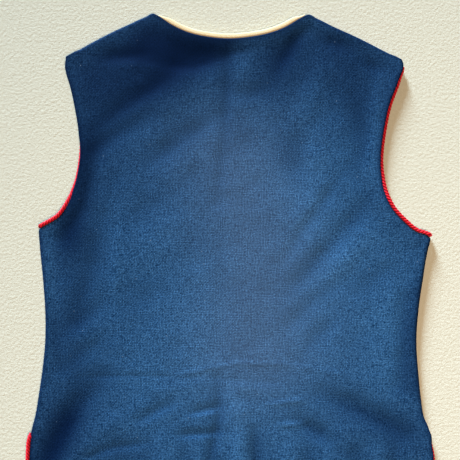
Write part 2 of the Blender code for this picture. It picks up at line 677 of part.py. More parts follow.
def front_neck_band(side, front, finish, collection):
    """The same band along a front's neck edge."""
    name = "neck_band_front_left" if side == LEFT else "neck_band_front_right"
    start = VENT_ROWS + SIDE_ROWS
    edge = np.array([row[0] for row in front[start:-len(ROLL)]])
    outward = outward_of(edge, -side)
    levels = [BAND_WALL / 2 + CLEAR_OF_FLOOR] * len(edge)
    widths = [BAND_WIDTH] * len(edge)
    grid = band_grid(edge, outward, widths, levels, droop=0.0)
    nearest = GAP / 2
    grid = [[(side * max(side * x, nearest), y, z) for x, y, z in row] for row in grid]
    return sheet_object(name, grid, BAND_WALL, finish, collection)


def centre_on_origin(pieces):
    """Moves the vest so that the origin is under the middle of its box."""
    bpy.context.view_layer.update()
    shown = bpy.context.evaluated_depsgraph_get()
    places = []
    for piece in pieces:
        evaluated = piece.evaluated_get(shown)
        places.extend(tuple(vertex.co) for vertex in evaluated.to_mesh().vertices)
        evaluated.to_mesh_clear()
    low, high = np.min(places, axis=0), np.max(places, axis=0)
    for piece in pieces:
        piece.location = (-(low[0] + high[0]) / 2, -(low[1] + high[1]) / 2, 0.0)


def build():
    for old in list(bpy.data.objects):
        bpy.data.objects.remove(old)
    vest = bpy.data.collections.new("folk_vest")
    bpy.context.scene.collection.children.link(vest)
    navy = material("navy_wool", (0.030, 0.085, 0.200), 0.9)
    front_navy = material("navy_wool_fronts", (0.028, 0.078, 0.185), 0.9)
    red = material("red_cord", (0.72, 0.015, 0.030), 0.6)
    cream = material("cream_band", (0.85, 0.70, 0.45), 0.7)

    back = back_grid()
    pieces = [sheet_object("back", back, WALL, navy, vest)]
    for side, name in ((LEFT, "front_left"), (RIGHT, "front_right")):
        front = front_grid(side)
        pieces.append(sheet_object(name, front, WALL, front_navy, vest))
        pieces.append(armhole_cord(side, back, front, red, vest))
        pieces.append(front_hem_cord(side, front, red, vest))
        pieces.append(front_neck_band(side, front, cream, vest))
    pieces.append(back_hem_cord(back, red, vest))
    pieces.append(back_neck_band(back, cream, vest))
    centre_on_origin(pieces)


build()
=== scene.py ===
"""Looks of a navy wool folk vest that lies face down with its back uppermost.

The back and the two fronts are thin cloth shells on the form of their solids, with the creases
of worn cloth. Twisted red cord edges them and a folded cream band binds the neck.
X runs across the vest, Y up its length to the neck, Z up from the surface that it lies on.
Lengths are in millimetres until a mesh is made.
"""
import math
from collections import namedtuple

import bpy
import numpy as np
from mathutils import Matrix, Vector


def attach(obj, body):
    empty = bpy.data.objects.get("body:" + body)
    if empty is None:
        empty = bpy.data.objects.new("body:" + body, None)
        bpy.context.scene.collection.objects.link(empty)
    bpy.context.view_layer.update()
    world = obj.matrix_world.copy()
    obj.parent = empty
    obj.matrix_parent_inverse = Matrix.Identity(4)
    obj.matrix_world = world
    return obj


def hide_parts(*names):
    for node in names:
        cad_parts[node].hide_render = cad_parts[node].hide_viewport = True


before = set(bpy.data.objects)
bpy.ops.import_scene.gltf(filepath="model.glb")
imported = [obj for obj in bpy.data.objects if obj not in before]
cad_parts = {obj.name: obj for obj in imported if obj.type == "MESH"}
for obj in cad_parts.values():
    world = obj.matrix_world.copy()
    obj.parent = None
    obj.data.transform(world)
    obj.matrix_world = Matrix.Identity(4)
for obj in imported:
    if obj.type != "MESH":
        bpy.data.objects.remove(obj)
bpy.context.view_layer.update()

MM = 0.001
LEFT, RIGHT = -1, 1
WORD = {LEFT: "left", RIGHT: "right"}
MIDDLE = (-0.645, 297.453)   # across and up from the centre of the hem to the frame's origin

# Cloth and trim.
WALL = 2.4            # wool cloth with its lining
GAP = 0.3
CORD = 4.8            # the room that the edges leave for a cord
STRANDS = 3
STRAND = 1.24         # radius of one strand
TWIST = 1.34          # how far a strand's middle lies from the cord's
TWIST_LENGTH = 12.0   # one turn of a strand
CORD_END = 1.2        # length over which a strand's end is rounded
CORD_TIP = 0.02       # least share of that rounding, so that the end has a face
CORD_STEP = 0.65      # length of the strands' mesh faces
STRAND_SIDES = 9
BAND_WIDTH = 6.0
BAND_HEIGHT = 2.4
BAND_END_WIDTH = 1.6
BAND_WIDENS_OVER = 15.0
BAND_BELOW = 0.7      # its middle lies this far below that of the cloth beside it
BAND_DROOP = 0.4      # its free edge hangs this much lower
BAND_ENDS = {LEFT: -87.0, RIGHT: 89.5}
BAND_STEP = 1.5       # length of its mesh faces
FRONT_BAND_STEP = 1.8
BAND_LEAST_WIDTH = 1.2    # where the two fronts' bands meet
BAND_THIN_SHARE = 0.35    # a band of no width would still have this share of the height
LEAST_ACROSS = 0.1        # least share across of a neck edge's normal, where the room there is worked out
THREAD_UNIT = 10.0    # millimetres of cord or band in one unit of their thread coordinates

# A band's section, round from the seam: share of its width, share of its height.
BAND_SECTION = [
    (0.00, -0.05), (0.01, 0.40), (0.04, 0.49), (0.30, 0.50), (0.60, 0.50), (0.80, 0.45), (0.90, 0.33),
    (0.97, 0.14), (1.00, -0.06), (0.97, -0.26), (0.88, -0.42), (0.70, -0.50), (0.40, -0.50),
    (0.08, -0.46), (0.01, -0.30),
]

# Heights of a wall's middle above the surface.
FRONT_MIDDLE = 1.3
BACK_FIELD = 6.6
FREE_EDGE = 7.7
NECK_EDGE = 8.2
SEAM_RADIUS = 3.0
SEAM_LEVEL = 4.3
CLEAR_OF_FLOOR = 0.1
FRONT_CORD = CORD / 2 + 2 * CLEAR_OF_FLOOR
LOWEST_BACK = 4.15    # the back's wall stays clear of the fronts below it
LEVEL_OFF_HEIGHT = 4  # how sharply it levels off there

# How an edge meets its neighbours.
BESIDE_EDGE = CORD / 2 + GAP      # from the cloth's edge to the middle of its cord
PRESSED = 0.45                    # a strand's round side presses this much nearer to the cloth
ARMHOLE_SPACING = 5               # between the points that guide a cord
VENT_SPACING = 7
HEM_CORNER_COLUMNS = 3            # columns at each end that the hem's cord leaves to its corners
TUCKED = CORD / 2 + 0.2           # how far a cord that is wholly rolled under lies inside the edge
TURN_BACK = 4.5                   # where the armhole's cord starts to turn round the underarm
SHORT_OF_TIP = 3.0                # where it ends, below the fold of the shoulder
BELOW_VENT_TOP = 5.0              # over this length the vent's edge comes out to the seam
SHORT_OF_ROW = 1.5                # where the vent's cord ends, below that stretch
INSIDE_SEAM = 0.8                 # the underarm's corner, from the folded seam beside it
CORNER_REACH = 14.0
SEAM_FOLD_REACH = 22.0
EDGE_REACH = 15.0                 # width over which the edges level the folds beside them
HEM_LIFT = 1.4                    # the back's hem lies over the fronts' cords
HEM_LIFT_REACH = 24.0
HEM_CORNER_POWER = 8
SHOULDER_SLOPE = 1.12             # length of the shoulder's slope over its run across
SEAM_BEFORE_NECK = 2              # the shoulder's seam starts this far inside the neck's point
SEAM_STARTS_OVER = 12
SEAM_ENDS_OVER = 14
NECK_RISE_WITHIN = 130.0          # the neck's edge stands higher within this distance of the centre
NECK_RISE_OVER = 40.0

# How a cord rolls under its edge as the share grows: it drops, swings below it, then tucks in.
DROPPED_BY = 0.15
SWING_FROM, SWING_OVER = 0.1, 0.6
TUCK_FROM, TUCK_OVER = 0.7, 0.3

# Rows and columns of the cloth's mesh.
VENT_ROWS = [(0.60, 16), (1.0, 25)]      # for each stretch, the share where it ends and its rows
SIDE_ROWS = [(0.42, 68), (1.0, 52)]
ARMHOLE_ROWS = [(1.0, 82)]
BACK_COLUMNS = 160
FRONT_COLUMNS = 56
FRONT_STEP = 2        # a front takes every second row
ROLL_ANGLES = (12, 21, 30, 42, 56, 72, 90)
BESIDE_ROLL = 5.0
EDGE_ROUNDING = 1.5   # width over which a cut edge thins
EDGE_SHARE = 0.35     # of the wall's thickness, left at that edge

# Outline seen from above, cord included: up from the hem, out from the centre line.
OUTLINE = {
    LEFT: {
        "vent": [(0, 246), (30, 245.6), (60, 244.8), (80, 243.8), (88, 243), (92, 241.4), (96, 238.6)],
        "side": [(96, 238.6), (104, 236.4), (120, 232.8), (144, 229), (168, 225.5), (204, 222), (240, 222),
                 (276, 224.5), (312, 228), (338, 229.8)],
        "armhole": [(342.6, 230.2), (346.3, 224), (351.6, 214.4), (356, 208), (362.3, 202.7), (372, 197),
                    (396, 186.8), (420, 182), (438, 180.5), (456, 181.2), (480, 185), (504, 190),
                    (530, 197), (543, 196)],
    },
    RIGHT: {
        "vent": [(0, 247), (30, 246.6), (60, 245.3), (70, 244.4), (76, 243), (81, 241.8), (87, 241),
                 (96, 239.4)],
        "side": [(96, 239.4), (104, 236.2), (114, 232), (132, 229), (168, 225.3), (204, 223.2), (240, 225.6),
                 (276, 230.6), (312, 236.6), (327, 240.4)],
        "armhole": [(330.8, 241), (335.6, 235.8), (337.8, 228.2), (341.5, 220.8), (349, 212.3),
                    (356.4, 204.7), (366, 196.8), (384, 188.6), (408, 184.2), (424, 183.6), (440, 185),
                    (460, 188), (484, 193.2), (508, 202), (520, 205.8), (529, 208.6), (535, 208.4),
                    (539.5, 205.6)],
    },
}

# Shoulders and back neck from the left shoulder's tip to the right one's: across, up.
TOP_LINE = [
    (-200, 541), (-176, 555.3), (-146, 571.4), (-117, 585), (-101, 592.2), (-92, 594.8),
    (-84, 590.6), (-69, 580.8), (-50, 572.3), (-25, 566.8), (0, 565), (26, 567.4),
    (46, 571.4), (65, 578.4), (84, 589.4), (93.5, 593.6), (103, 590.4), (122, 581),
    (151, 567.8), (180, 553), (199, 543), (212, 536),
]
NECK_POINT = {LEFT: 92.0, RIGHT: 93.5}

# How far a cord has rolled under the cloth's edge: up from the hem, share rolled.
CORD_ROLLED_UNDER = {
    LEFT: {
        "vent": [(0, 0.0), (96, 0.0)],
        "armhole": [(338, 0.0), (366, 0.0), (384, 0.48), (396, 0.58), (408, 0.68), (420, 0.72), (432, 0.81),
                    (442, 0.87), (450, 0.95), (462, 1.0)],
    },
    RIGHT: {
        "vent": [(0, 0.0), (40, 0.35), (60, 0.52), (72, 0.72), (84, 0.85), (96, 0.95)],
        "armhole": [(329, 0.0), (372, 0.0), (396, 0.3), (420, 0.42), (492, 0.45), (515, 0.5), (530, 0.7),
                    (545, 0.85)],
    },
}

# The end of the left vent's cord runs in under the cloth's edge: across, up and down from its last point.
LEFT_VENT_TIP = [(0.2, 2.5, -0.7), (0.9, 5.2, -2.0)]
LEFT_VENT_SLENDER = 0.4

# Fronts, which lie hidden under the back.
FRONT_HEM_UP = 7.0
FRONT_EDGE_OUT = 0.6             # half the gap at the centre front
NECK_DEPTH_UP = 356.0            # the point of the front neck, above the hem
FRONT_ARMHOLE_DEEPER = 10.0
DEEPER_AFTER = 70.0              # reached this far above the underarm
SHALLOWER_FROM_TIP = 50.0        # and less again near the shoulder's tip, by this share
SHALLOWER_BY = 0.45
NECK_WIDER = 3.0                 # the front's neck starts this far outside the back's
FRONT_NECK_BOW = [(34, 424), (72, 512)]
# How far the front's vent lies outside the back's: up from the hem, outward.
FRONT_VENT_OUT = {
    LEFT: [(0, 2.6), (60, 1.3), (96, 0.0)],
    RIGHT: [(0, -5.4), (92, -5.4), (96, 0.0)],
}

# Folds of the back. A ridge has a height above zero, a trough below it. Upper and lower are the
# widths of the fold's two flanks, on the neck's side and on the hem's side of its line.
FOLD_COLUMNS = ("line", "upper", "lower", "height")
FLANKS_CHANGE_OVER = 6    # width over which one flank of a fold turns into the other
HEIGHT_AT_ENDS = 0.55     # share of a fold's height at its ends
RISES_WITHIN = 0.3        # share of its length over which it comes to its full height
FOLDS = [
    # below the left shoulder: a trough, the ridge under it and a second trough
    ([(-80, 535), (-44, 533), (-8, 546)], 26, 9, -1.4),
    ([(-166, 456), (-112, 492), (-64, 526)], 13, 9, -1.0),
    ([(-178, 425), (-136, 452), (-96, 474)], 13, 13, -1.1),
    ([(-138, 456), (-90, 478), (-30, 506)], 16, 18, 0.5),
    ([(-98, 416), (-58, 444), (-20, 470)], 16, 10, -0.95),
    ([(-74, 406), (-20, 440)], 12, 12, 0.35),
    ([(-154, 541), (-130, 543), (-106, 545)], 11, 7, -1.0),
    ([(-130, 534), (-88, 534)], 8, 9, 0.3),
    # right of the neck
    ([(84, 574), (70, 550), (56, 528)], 10, 9, -1.1),
    ([(52, 504), (14, 497)], 12, 8, -0.5),
    ([(112, 565), (138, 556)], 12, 10, -1.0),
    ([(160, 538), (178, 528)], 9, 8, -0.7),
    ([(60, 440), (90, 480), (112, 528)], 14, 14, 0.6),
    ([(8, 520), (26, 540)], 12, 12, 0.5),
    # beside the right armhole
    ([(146, 494), (160, 442), (150, 404)], 12, 13, -0.8),
    ([(178, 520), (174, 460), (167, 412), (178, 372)], 7, 8, 0.9),
    ([(66, 456), (74, 396)], 20, 20, -0.9),
    ([(104, 440), (98, 404)], 14, 14, 0.5),
    # drag lines from the right underarm
    ([(170, 380), (134, 334), (98, 294), (70, 262)], 12, 12, -1.2),
    ([(186, 350), (148, 314), (120, 280)], 12, 12, 0.6),
    ([(140, 414), (98, 352), (60, 296)], 8, 8, -0.6),
    ([(112, 392), (76, 340)], 10, 10, 0.45),
    ([(142, 284), (98, 252), (70, 222)], 11, 11, -0.7),
    ([(124, 228), (84, 190)], 11, 11, -0.7),
    ([(196, 300), (150, 262)], 13, 13, -0.5),
    # left side and left underarm
    ([(-200, 326), (-178, 368), (-166, 430)], 12, 12, -1.1),
    ([(-186, 232), (-164, 290), (-154, 350)], 12, 12, -0.8),
    ([(-138, 256), (-134, 330)], 7, 9, 0.6),
    ([(-120, 300), (-84, 330), (-56, 356)], 24, 22, 0.6),
    ([(-120, 346), (-70, 376)], 14, 14, -0.4),
    ([(-196, 214), (-150, 250)], 11, 10, -0.7),
    ([(-196, 176), (-148, 208)], 10, 10, -0.5),
    ([(-118, 250), (-70, 272)], 16, 16, -0.4),
    # broad troughs to the vents
    ([(-154, 160), (-188, 118), (-214, 70), (-224, 46)], 17, 14, -1.5),
    ([(-112, 124), (-160, 92), (-180, 60)], 14, 14, 0.4),
    ([(108, 140), (160, 120), (208, 94)], 14, 12, -1.35),
    ([(84, 108), (116, 86)], 11, 9, -1.5),
    ([(140, 96), (180, 70)], 13, 13, 0.5),
    # creases over the waist
    ([(-68, 162), (-22, 173), (8, 178), (66, 177), (90, 172)], 3, 3.6, 0.30),
    ([(-182, 161), (-110, 163), (-40, 160)], 4, 3, -0.28),
    ([(92, 172), (140, 164)], 3.5, 5, 0.18),
    ([(-24, 159), (20, 157), (62, 154)], 4, 3, -0.12),
    ([(-4, 152), (30, 147), (64, 150)], 4, 9, 0.25),
    ([(46, 129), (86, 134)], 3, 4, 0.48),
    ([(58, 104), (82, 105)], 3, 4, 0.5),
    ([(-46, 117), (-14, 126)], 7, 5, -0.9),
    ([(-50, 113), (-16, 118)], 3, 3, 0.36),
    ([(-62, 91), (-14, 95)], 7, 4, -0.9),
    ([(-108, 110), (-72, 129)], 8, 6, -0.85),
    ([(-180, 62), (-140, 77), (-96, 83)], 6, 5, -0.55),
    ([(-100, 144), (-40, 150)], 6, 6, 0.2),
    # down the centre back
    ([(-3, 560), (-5, 480), (-10, 420), (-16, 370)], 7, 7, -0.7),
    ([(-16, 360), (-11, 300), (-10, 200)], 8, 8, -0.35),
    ([(-17, 160), (-13, 120), (-19, 84), (-26, 56)], 6, 6, -1.1),
    ([(4, 140), (12, 100), (8, 60)], 9, 10, 0.8),
    ([(27, 98), (32, 50)], 6, 5, -0.9),
    # inside the rolled sides
    ([(208, 256), (209, 200), (203, 150)], 9, 9, -1.1),
    ([(-208, 300), (-210, 230), (-206, 170)], 9, 9, -0.7),
]

# Painted light and shade, with some fading: a share above zero paints the wool paler as light, one below zero
# paints it deep navy as shade: line, width, share.
EVEN_FADE = 0.50
FOLD_PAINTED_LIGHT_AND_SHADE = 0.17      # painted light on a ridge and painted shade in a trough, for each millimetre of its height
EDGE_PAINTED_SHADE = 0.80          # painted shade: less pale along the turned edges
EDGE_PAINTED_SHADE_WIDTH = 3.2
LEVEL_OFF_FADE = 8        # how sharply the painted light and fading levels off at none
PAINTED_LIGHT_SHADE_AND_FADE = [
    ([(40, 330), (30, 190)], 120, 0.50),
    ([(140, 280), (176, 200)], 66, 0.17),
    ([(-150, 320), (-120, 130)], 70, 0.10),
    ([(70, 446), (80, 400)], 18, -0.10),
    ([(-150, 476), (-60, 510)], 34, -0.10),
    ([(50, 536), (120, 524)], 40, -0.14),
    ([(-186, 330), (-186, 150)], 17, -0.12),
    ([(198, 310), (180, 140)], 24, 0.13),
    ([(-216, 350), (-212, 240)], 10, 0.18),
    ([(-110, 150), (-60, 90)], 44, 0.08),
    ([(-30, 232), (40, 222)], 60, 0.12),
    ([(10, 450), (60, 400)], 66, 0.20),
    ([(-80, 446), (-30, 476)], 34, 0.10),
    ([(-92, 562), (-26, 556)], 30, -0.46),
    ([(-160, 520), (-80, 520)], 44, -0.34),
    ([(70, 560), (48, 510)], 26, -0.17),
    ([(140, 550), (160, 500)], 40, -0.16),
    ([(-182, 440), (-190, 330)], 30, -0.30),
    ([(-136, 548), (-108, 548)], 17, -0.10),
    ([(-8, 500), (10, 450)], 24, -0.11),
    ([(-222, 40), (-196, 104)], 26, -0.34),
    ([(226, 262), (217, 150)], 14, -0.28),
    ([(150, 120), (206, 90)], 26, -0.12),
    ([(12, 110), (12, 50)], 18, 0.10),
]

# Where the cloth is worn and has a painted sheen, it turns greyer, down the middle of the back.
WORN_AND_SHEEN_LINE = [(0, 420), (36, 300), (30, 200)]
WORN_AND_SHEEN_WIDTH = 80.0

# Soft waves that widen towards the hem: across, half width, height.
HEM_WAVES = [(-190, 20, 0.6), (-130, 22, -0.6), (-78, 14, 0.7), (-56, 8, -0.7), (-38, 7, 0.6), (-21, 8, -0.7),
             (12, 10, 0.9), (31, 9, -1.2), (68, 13, 1.0), (92, 9, -0.9), (118, 12, 1.0), (150, 11, -0.8),
             (176, 9, 0.6), (194, 8, -0.7), (212, 9, 0.7)]
HEM_WAVES_UP = 110.0
HEM_WAVES_RISE = 1.6      # they come to their full height above the hem

# Slight unevenness of cloth that has been worn: lengths and steepness of its waves.
UNEVEN_LENGTHS = (14, 60)
UNEVEN_STEEPNESS = 0.0006
UNEVEN_WAVES = 36
UNEVEN_SEED = 7

# Camera. Its place over the vest and its lens are in millimetres, its heights and widths in metres.
CAMERA_OVER = (-0.4, 336.8)     # the picture's centre: across and up from the centre of the hem
PICTURE_PLANE = 0.003           # height at which the picture's width is measured
CAMERA_FIELD = 0.552            # width that the photo shows
CAMERA_LENS = 50.0
CAMERA_SENSOR = 36.0

# Lights and floor, in metres and degrees.
KEY_TRAVELS = (0.33, -0.944)    # across and up the picture
KEY_ELEVATION = 13.0
KEY_SOFTNESS = 14.0
KEY_STRENGTH = 6.8
LAMP_OVER = (0.22, -0.22)       # the soft lamp above gives the cloth its sheen
LAMP_HEIGHT = 1.3
LAMP_SIZE = 0.45
LAMP_POWER = 6.5
FILL_STRENGTH = 0.06
KEY_COLOUR = (0.74, 0.95, 1.12)
LAMP_COLOUR = (1.42, 1.08, 0.78)
FILL_COLOUR = (1.0, 0.92, 0.78)
FLOOR_SIZE = 6.0
FLOOR_CELLS = 8

# Wool. Its lengths are in metres, its scales in waves or cells for each metre.
THREAD_SPACING = 0.00175
THREAD_WANDER = 0.0040          # how far the threads bend
WANDER_SCALE = 60.0
ALONG_THREAD, ACROSS_THREAD = 420.0, 1250.0
CLOUD_SCALE = 18.0
HAIR_SCALE = 1500.0
LINT_SCALE = 95.0
LINT_PATCH_SCALE = 180.0
NAVY_IN_PAINTED_SHADE = (0.001, 0.004, 0.028), (0.001, 0.010, 0.064)      # navy in painted shade: dark and light places of a thread
# Navy painted lit, with some fading: dark and light places of a thread
NAVY_FADED_AND_PAINTED_LIT = (0.006, 0.050, 0.142), (0.138, 0.378, 0.740)
CLOUDED_NAVY = (0.020, 0.064, 0.155)
HAIR_BLUE = (0.100, 0.190, 0.330)
# Greyer blue of worn cloth and a painted sheen
WORN_AND_SHEEN_BLUE = (0.175, 0.215, 0.310)
BETWEEN_THREADS = (0.002, 0.010, 0.036)
LINT = (0.25, 0.34, 0.46)

# Trim and floor.
STRAND_RED = (0.80, 0.008, 0.026), (1.0, 0.018, 0.050)
HAIR_RED = (1.0, 0.14, 0.17)
# Painted shade in the grooves between strands
GROOVE_PAINTED_SHADE_RED = (0.34, 0.004, 0.016)
BAND_WEAVE = 0.06               # spacing of its threads, in units of its thread coordinates
BAND_CREAM = (0.86, 0.66, 0.38), (0.95, 0.78, 0.50)
SOFT_CREAM = (0.95, 0.82, 0.58)
BETWEEN_BAND_THREADS = (0.55, 0.38, 0.20)
FLOOR_TONES = (0.738, 0.729, 0.610), (0.838, 0.825, 0.706)
CLOUDED_FLOOR = (0.80, 0.780, 0.66)

Edge = namedtuple("Edge", "points folded cord_out cord_down first_seam_row first_armhole_row")
Panel = namedtuple("Panel", "plan from_outer from_side from_top from_edge shoulder")


def smooth_step(value):
    """Eased 0 to 1."""
    value = np.clip(value, 0.0, 1.0)
    return value * value * (3.0 - 2.0 * value)


def kept_above(value, least, sharpness):
    """The value, levelling off softly where it would fall below the least one."""
    return least + np.logaddexp(0, (value - least) * sharpness) / sharpness


def blend(at, start, end, first, last):
    """The value at a place between a start and an end that have the first and the last value."""
    return (end - at) / (end - start) * first + (at - start) / (end - start) * last


def dense_curve(points, per_span=24):
    """A centripetal Catmull-Rom curve through the points, finely sampled."""
    pts = [np.array(p, dtype=float) for p in points]
    pts = [2 * pts[0] - pts[1]] + pts + [2 * pts[-1] - pts[-2]]
    samples = []
    for p0, p1, p2, p3 in zip(pts, pts[1:], pts[2:], pts[3:]):
        t0 = 0.0
        t1 = t0 + math.sqrt(np.linalg.norm(p1 - p0))
        t2 = t1 + math.sqrt(np.linalg.norm(p2 - p1))
        t3 = t2 + math.sqrt(np.linalg.norm(p3 - p2))
        for step in range(per_span):
            t = t1 + (t2 - t1) * step / per_span
            a1 = blend(t, t0, t1, p0, p1)
            a2 = blend(t, t1, t2, p1, p2)
            a3 = blend(t, t2, t3, p2, p3)
            b1 = blend(t, t0, t2, a1, a2)
            b2 = blend(t, t1, t3, a2, a3)
            samples.append(blend(t, t1, t2, b1, b2))
    samples.append(pts[-2])
    return np.array(samples)


def lengths_along(curve):
    """Distance of each sample from the curve's start."""
    steps = np.linalg.norm(np.diff(curve, axis=0), axis=1)
    return np.concatenate([[0.0], np.cumsum(steps)])


def points_at(curve, distances):
    """Points of a finely sampled curve at these distances along it."""
    along = lengths_along(curve)
    return np.column_stack([np.interp(distances, along, curve[:, k]) for k in range(curve.shape[1])])


def unit(vectors):
    """Each of the vectors at a length of one."""
    return vectors / np.linalg.norm(vectors, axis=1)[:, None]


def inward_normals(points, side):
    """Unit normals in plan, towards the cloth, of an edge that runs up the given side."""
    tangents = unit(np.gradient(points, axis=0))
    return np.column_stack([-tangents[:, 1], tangents[:, 0]]) * side


TOP_SAMPLES = dense_curve(TOP_LINE)


def on_shoulder(across):
    """1 along a shoulder seam, 0 in the neck and at the armhole's edge."""
    right = across > 0
    tip = np.where(right, OUTLINE[RIGHT]["armhole"][-1][1], OUTLINE[LEFT]["armhole"][-1][1])
    neck = np.where(right, NECK_POINT[RIGHT], NECK_POINT[LEFT])
    beyond_neck = smooth_step((np.abs(across) - neck + SEAM_BEFORE_NECK) / SEAM_STARTS_OVER)
    before_tip = smooth_step((tip - CORD - np.abs(across)) / SEAM_ENDS_OVER)
    return beyond_neck * before_tip


def top_edge(across):
    """Height above the hem of the middle of the wall, along shoulders and neck."""
    top = np.interp(across, TOP_SAMPLES[:, 0], TOP_SAMPLES[:, 1])
    return top - on_shoulder(across) * WALL / 2 * SHOULDER_SLOPE


ROLL_START = SEAM_RADIUS * (1 - math.cos(math.radians(ROLL_ANGLES[0])))
ROLL = [SEAM_RADIUS * (1 - math.cos(math.radians(a))) - ROLL_START for a in ROLL_ANGLES] + [BESIDE_ROLL]


def roll_drop(distance):
    """How far the middle of the wall has turned down at this distance from the fold."""
    reach = np.minimum(distance + ROLL_START, SEAM_RADIUS)
    return SEAM_RADIUS - np.sqrt(SEAM_RADIUS ** 2 - (SEAM_RADIUS - reach) ** 2)


def cord_beside_edge(rolled):
    """Where the cord's centre lies from the middle of the cloth's edge: outward, downward."""
    drop = WALL / 2 * np.minimum(rolled / DROPPED_BY, 1.0)
    angle = math.radians(90) * smooth_step((rolled - SWING_FROM) / SWING_OVER)
    tucked = TUCKED * smooth_step((rolled - TUCK_FROM) / TUCK_OVER)
    return BESIDE_EDGE * np.cos(angle) - tucked, drop + BESIDE_EDGE * np.sin(angle)


def read_off(table, places):
    """Values of a short two-column table at these places."""
    at = [row[0] for row in table]
    values = [row[1] for row in table]
    return np.interp(places, at, values)


def cord_offsets(rolled_under, outline, front):
    """The cord's offsets outward and downward at each point; a front's cord is never rolled under."""
    rolled = read_off(rolled_under, outline[:, 1]) * (0.0 if front else 1.0)
    return cord_beside_edge(rolled)


def deeper_share(along, total):
    """How much of its extra depth a front's armhole has at this distance from the underarm."""
    near_tip = smooth_step((along - total + SHALLOWER_FROM_TIP) / SHALLOWER_FROM_TIP)
    return smooth_step(along / DEEPER_AFTER) * (1 - SHALLOWER_BY * near_tip)


def rows_along(length, stretches):
    """Distances along an edge of this length, each stretch with its own number of rows."""
    rows = [0.0]
    for share, count in stretches:
        rows.extend(np.linspace(rows[-1], share * length, count + 1)[1:])
    return np.array(rows)


def edge_rows(side, front):
    """The cloth's edge up one side, from the hem to the shoulder's tip.

    Each row has its point (x, y), how far the seam is folded there, and the cord's offsets
    outward and downward.
    """
    lines = {}
    for name, rows in OUTLINE[side].items():
        lines[name] = dense_curve([(side * out, up) for up, out in rows])
    beside_cord = CORD + GAP

    length = lengths_along(lines["vent"])[-1]
    rows = rows_along(length, VENT_ROWS)
    rows = np.concatenate([[0.0], np.array(ROLL[1:-2]), rows[1:]])
    vent = points_at(lines["vent"], rows)
    below_top = 1 - rows / length
    vent_out, vent_down = cord_offsets(CORD_ROLLED_UNDER[side]["vent"], vent, front)
    inset = vent_out + CORD / 2
    if front:
        inset = inset - read_off(FRONT_VENT_OUT[side], vent[:, 1])
        vent[:, 1] += FRONT_HEM_UP * below_top
    inset += (WALL / 2 - inset) * smooth_step((rows - length + BELOW_VENT_TOP) / BELOW_VENT_TOP)
    vent = vent + inward_normals(vent, side) * inset[:, None]
    vent[:, 1] += beside_cord * below_top ** HEM_CORNER_POWER

    seam = lines["side"] + inward_normals(lines["side"], side) * (WALL / 2 + ROLL_START)

    total = lengths_along(lines["armhole"])[-1]
    rows = np.concatenate([rows_along(total - ROLL[-1], ARMHOLE_ROWS), total - np.array(ROLL[-2::-1])])
    armhole = points_at(lines["armhole"], rows)
    out, down = cord_offsets(CORD_ROLLED_UNDER[side]["armhole"], armhole, front)
    inset = np.maximum(0.0, out + CORD / 2)
    if front:
        inset = inset + FRONT_ARMHOLE_DEEPER * deeper_share(rows, total)
    armhole = armhole + inward_normals(armhole, side) * inset[:, None]
    corner = seam[-1, 0] - side * INSIDE_SEAM
    armhole[:, 0] += (corner - armhole[0, 0]) * (1 - smooth_step(rows / CORNER_REACH))
    tip_up = top_edge(armhole[-1, 0])
    last = rows >= total - ROLL[-1]
    armhole[last, 1] = tip_up - (total - rows[last])

    along = lengths_along(seam)
    seam_end = np.interp(armhole[0, 1], seam[:, 1], along)
    rows = rows_along(seam_end, SIDE_ROWS)[1:-1]
    seam = points_at(seam, rows)
    seam_folded = smooth_step(np.minimum(rows, along[-1] - rows) / SEAM_FOLD_REACH)

    points = np.vstack([vent, seam, armhole])
    folded = np.concatenate([np.zeros(len(vent)), seam_folded, np.zeros(len(armhole))])
    outward = np.concatenate([vent_out, np.full(len(seam), BESIDE_EDGE), out])
    downward = np.concatenate([vent_down, np.zeros(len(seam)), down])
    return Edge(points, folded, outward, downward, len(vent), len(vent) + len(seam))


def patch(s, t, bottom, top, left, right):
    """Points of the surface spanned by four edges; left and right have a point for each row."""
    s, t = s[..., None], t[..., None]
    left, right = left[:, None, :], right[:, None, :]
    corners = left[0, 0], right[0, 0], left[-1, 0], right[-1, 0]
    edges = (1 - t) * bottom + t * top + (1 - s) * left + s * right
    level = (1 - s) * (1 - t) * corners[0] + s * (1 - t) * corners[1]
    return edges - level - (1 - s) * t * corners[2] - s * t * corners[3]


def line_distance(x, y, line):
    """Offset from the nearest point of a line of straight runs, and how far along it that is."""
    best = np.full(x.shape, 1e9)
    offset_up = np.zeros(x.shape)
    along = np.zeros(x.shape)
    passed = 0.0
    for (ax, ay), (bx, by) in zip(line, line[1:]):
        dx, dy = bx - ax, by - ay
        length = math.hypot(dx, dy)
        share = np.clip(((x - ax) * dx + (y - ay) * dy) / length ** 2, 0.0, 1.0)
        ox, oy = x - ax - share * dx, y - ay - share * dy
        away = np.hypot(ox, oy)
        nearer = away < best
        best = np.where(nearer, away, best)
        offset_up = np.where(nearer, oy, offset_up)
        along = np.where(nearer, passed + share * length, along)
        passed += length
    return best, offset_up, along / passed


def fold_height(x, y):
    """Height that the folds add to the back at each point, before the edges level it."""
    total = np.zeros(x.shape)
    for row in FOLDS:
        fold = dict(zip(FOLD_COLUMNS, row))
        away, up, along = line_distance(x, y, fold["line"])
        upper_share = smooth_step(0.5 + up / FLANKS_CHANGE_OVER)
        width = fold["lower"] + (fold["upper"] - fold["lower"]) * upper_share
        inside = smooth_step(np.minimum(along, 1 - along) / RISES_WITHIN)
        share = HEIGHT_AT_ENDS + (1 - HEIGHT_AT_ENDS) * inside
        total += fold["height"] * share * np.exp(-(away / width) ** 2)
    fan = smooth_step(HEM_WAVES_RISE * np.maximum(0.0, 1 - y / HEM_WAVES_UP))
    for across, half_width, height in HEM_WAVES:
        total += height * fan * np.exp(-((x - across) / half_width) ** 2)
    return total


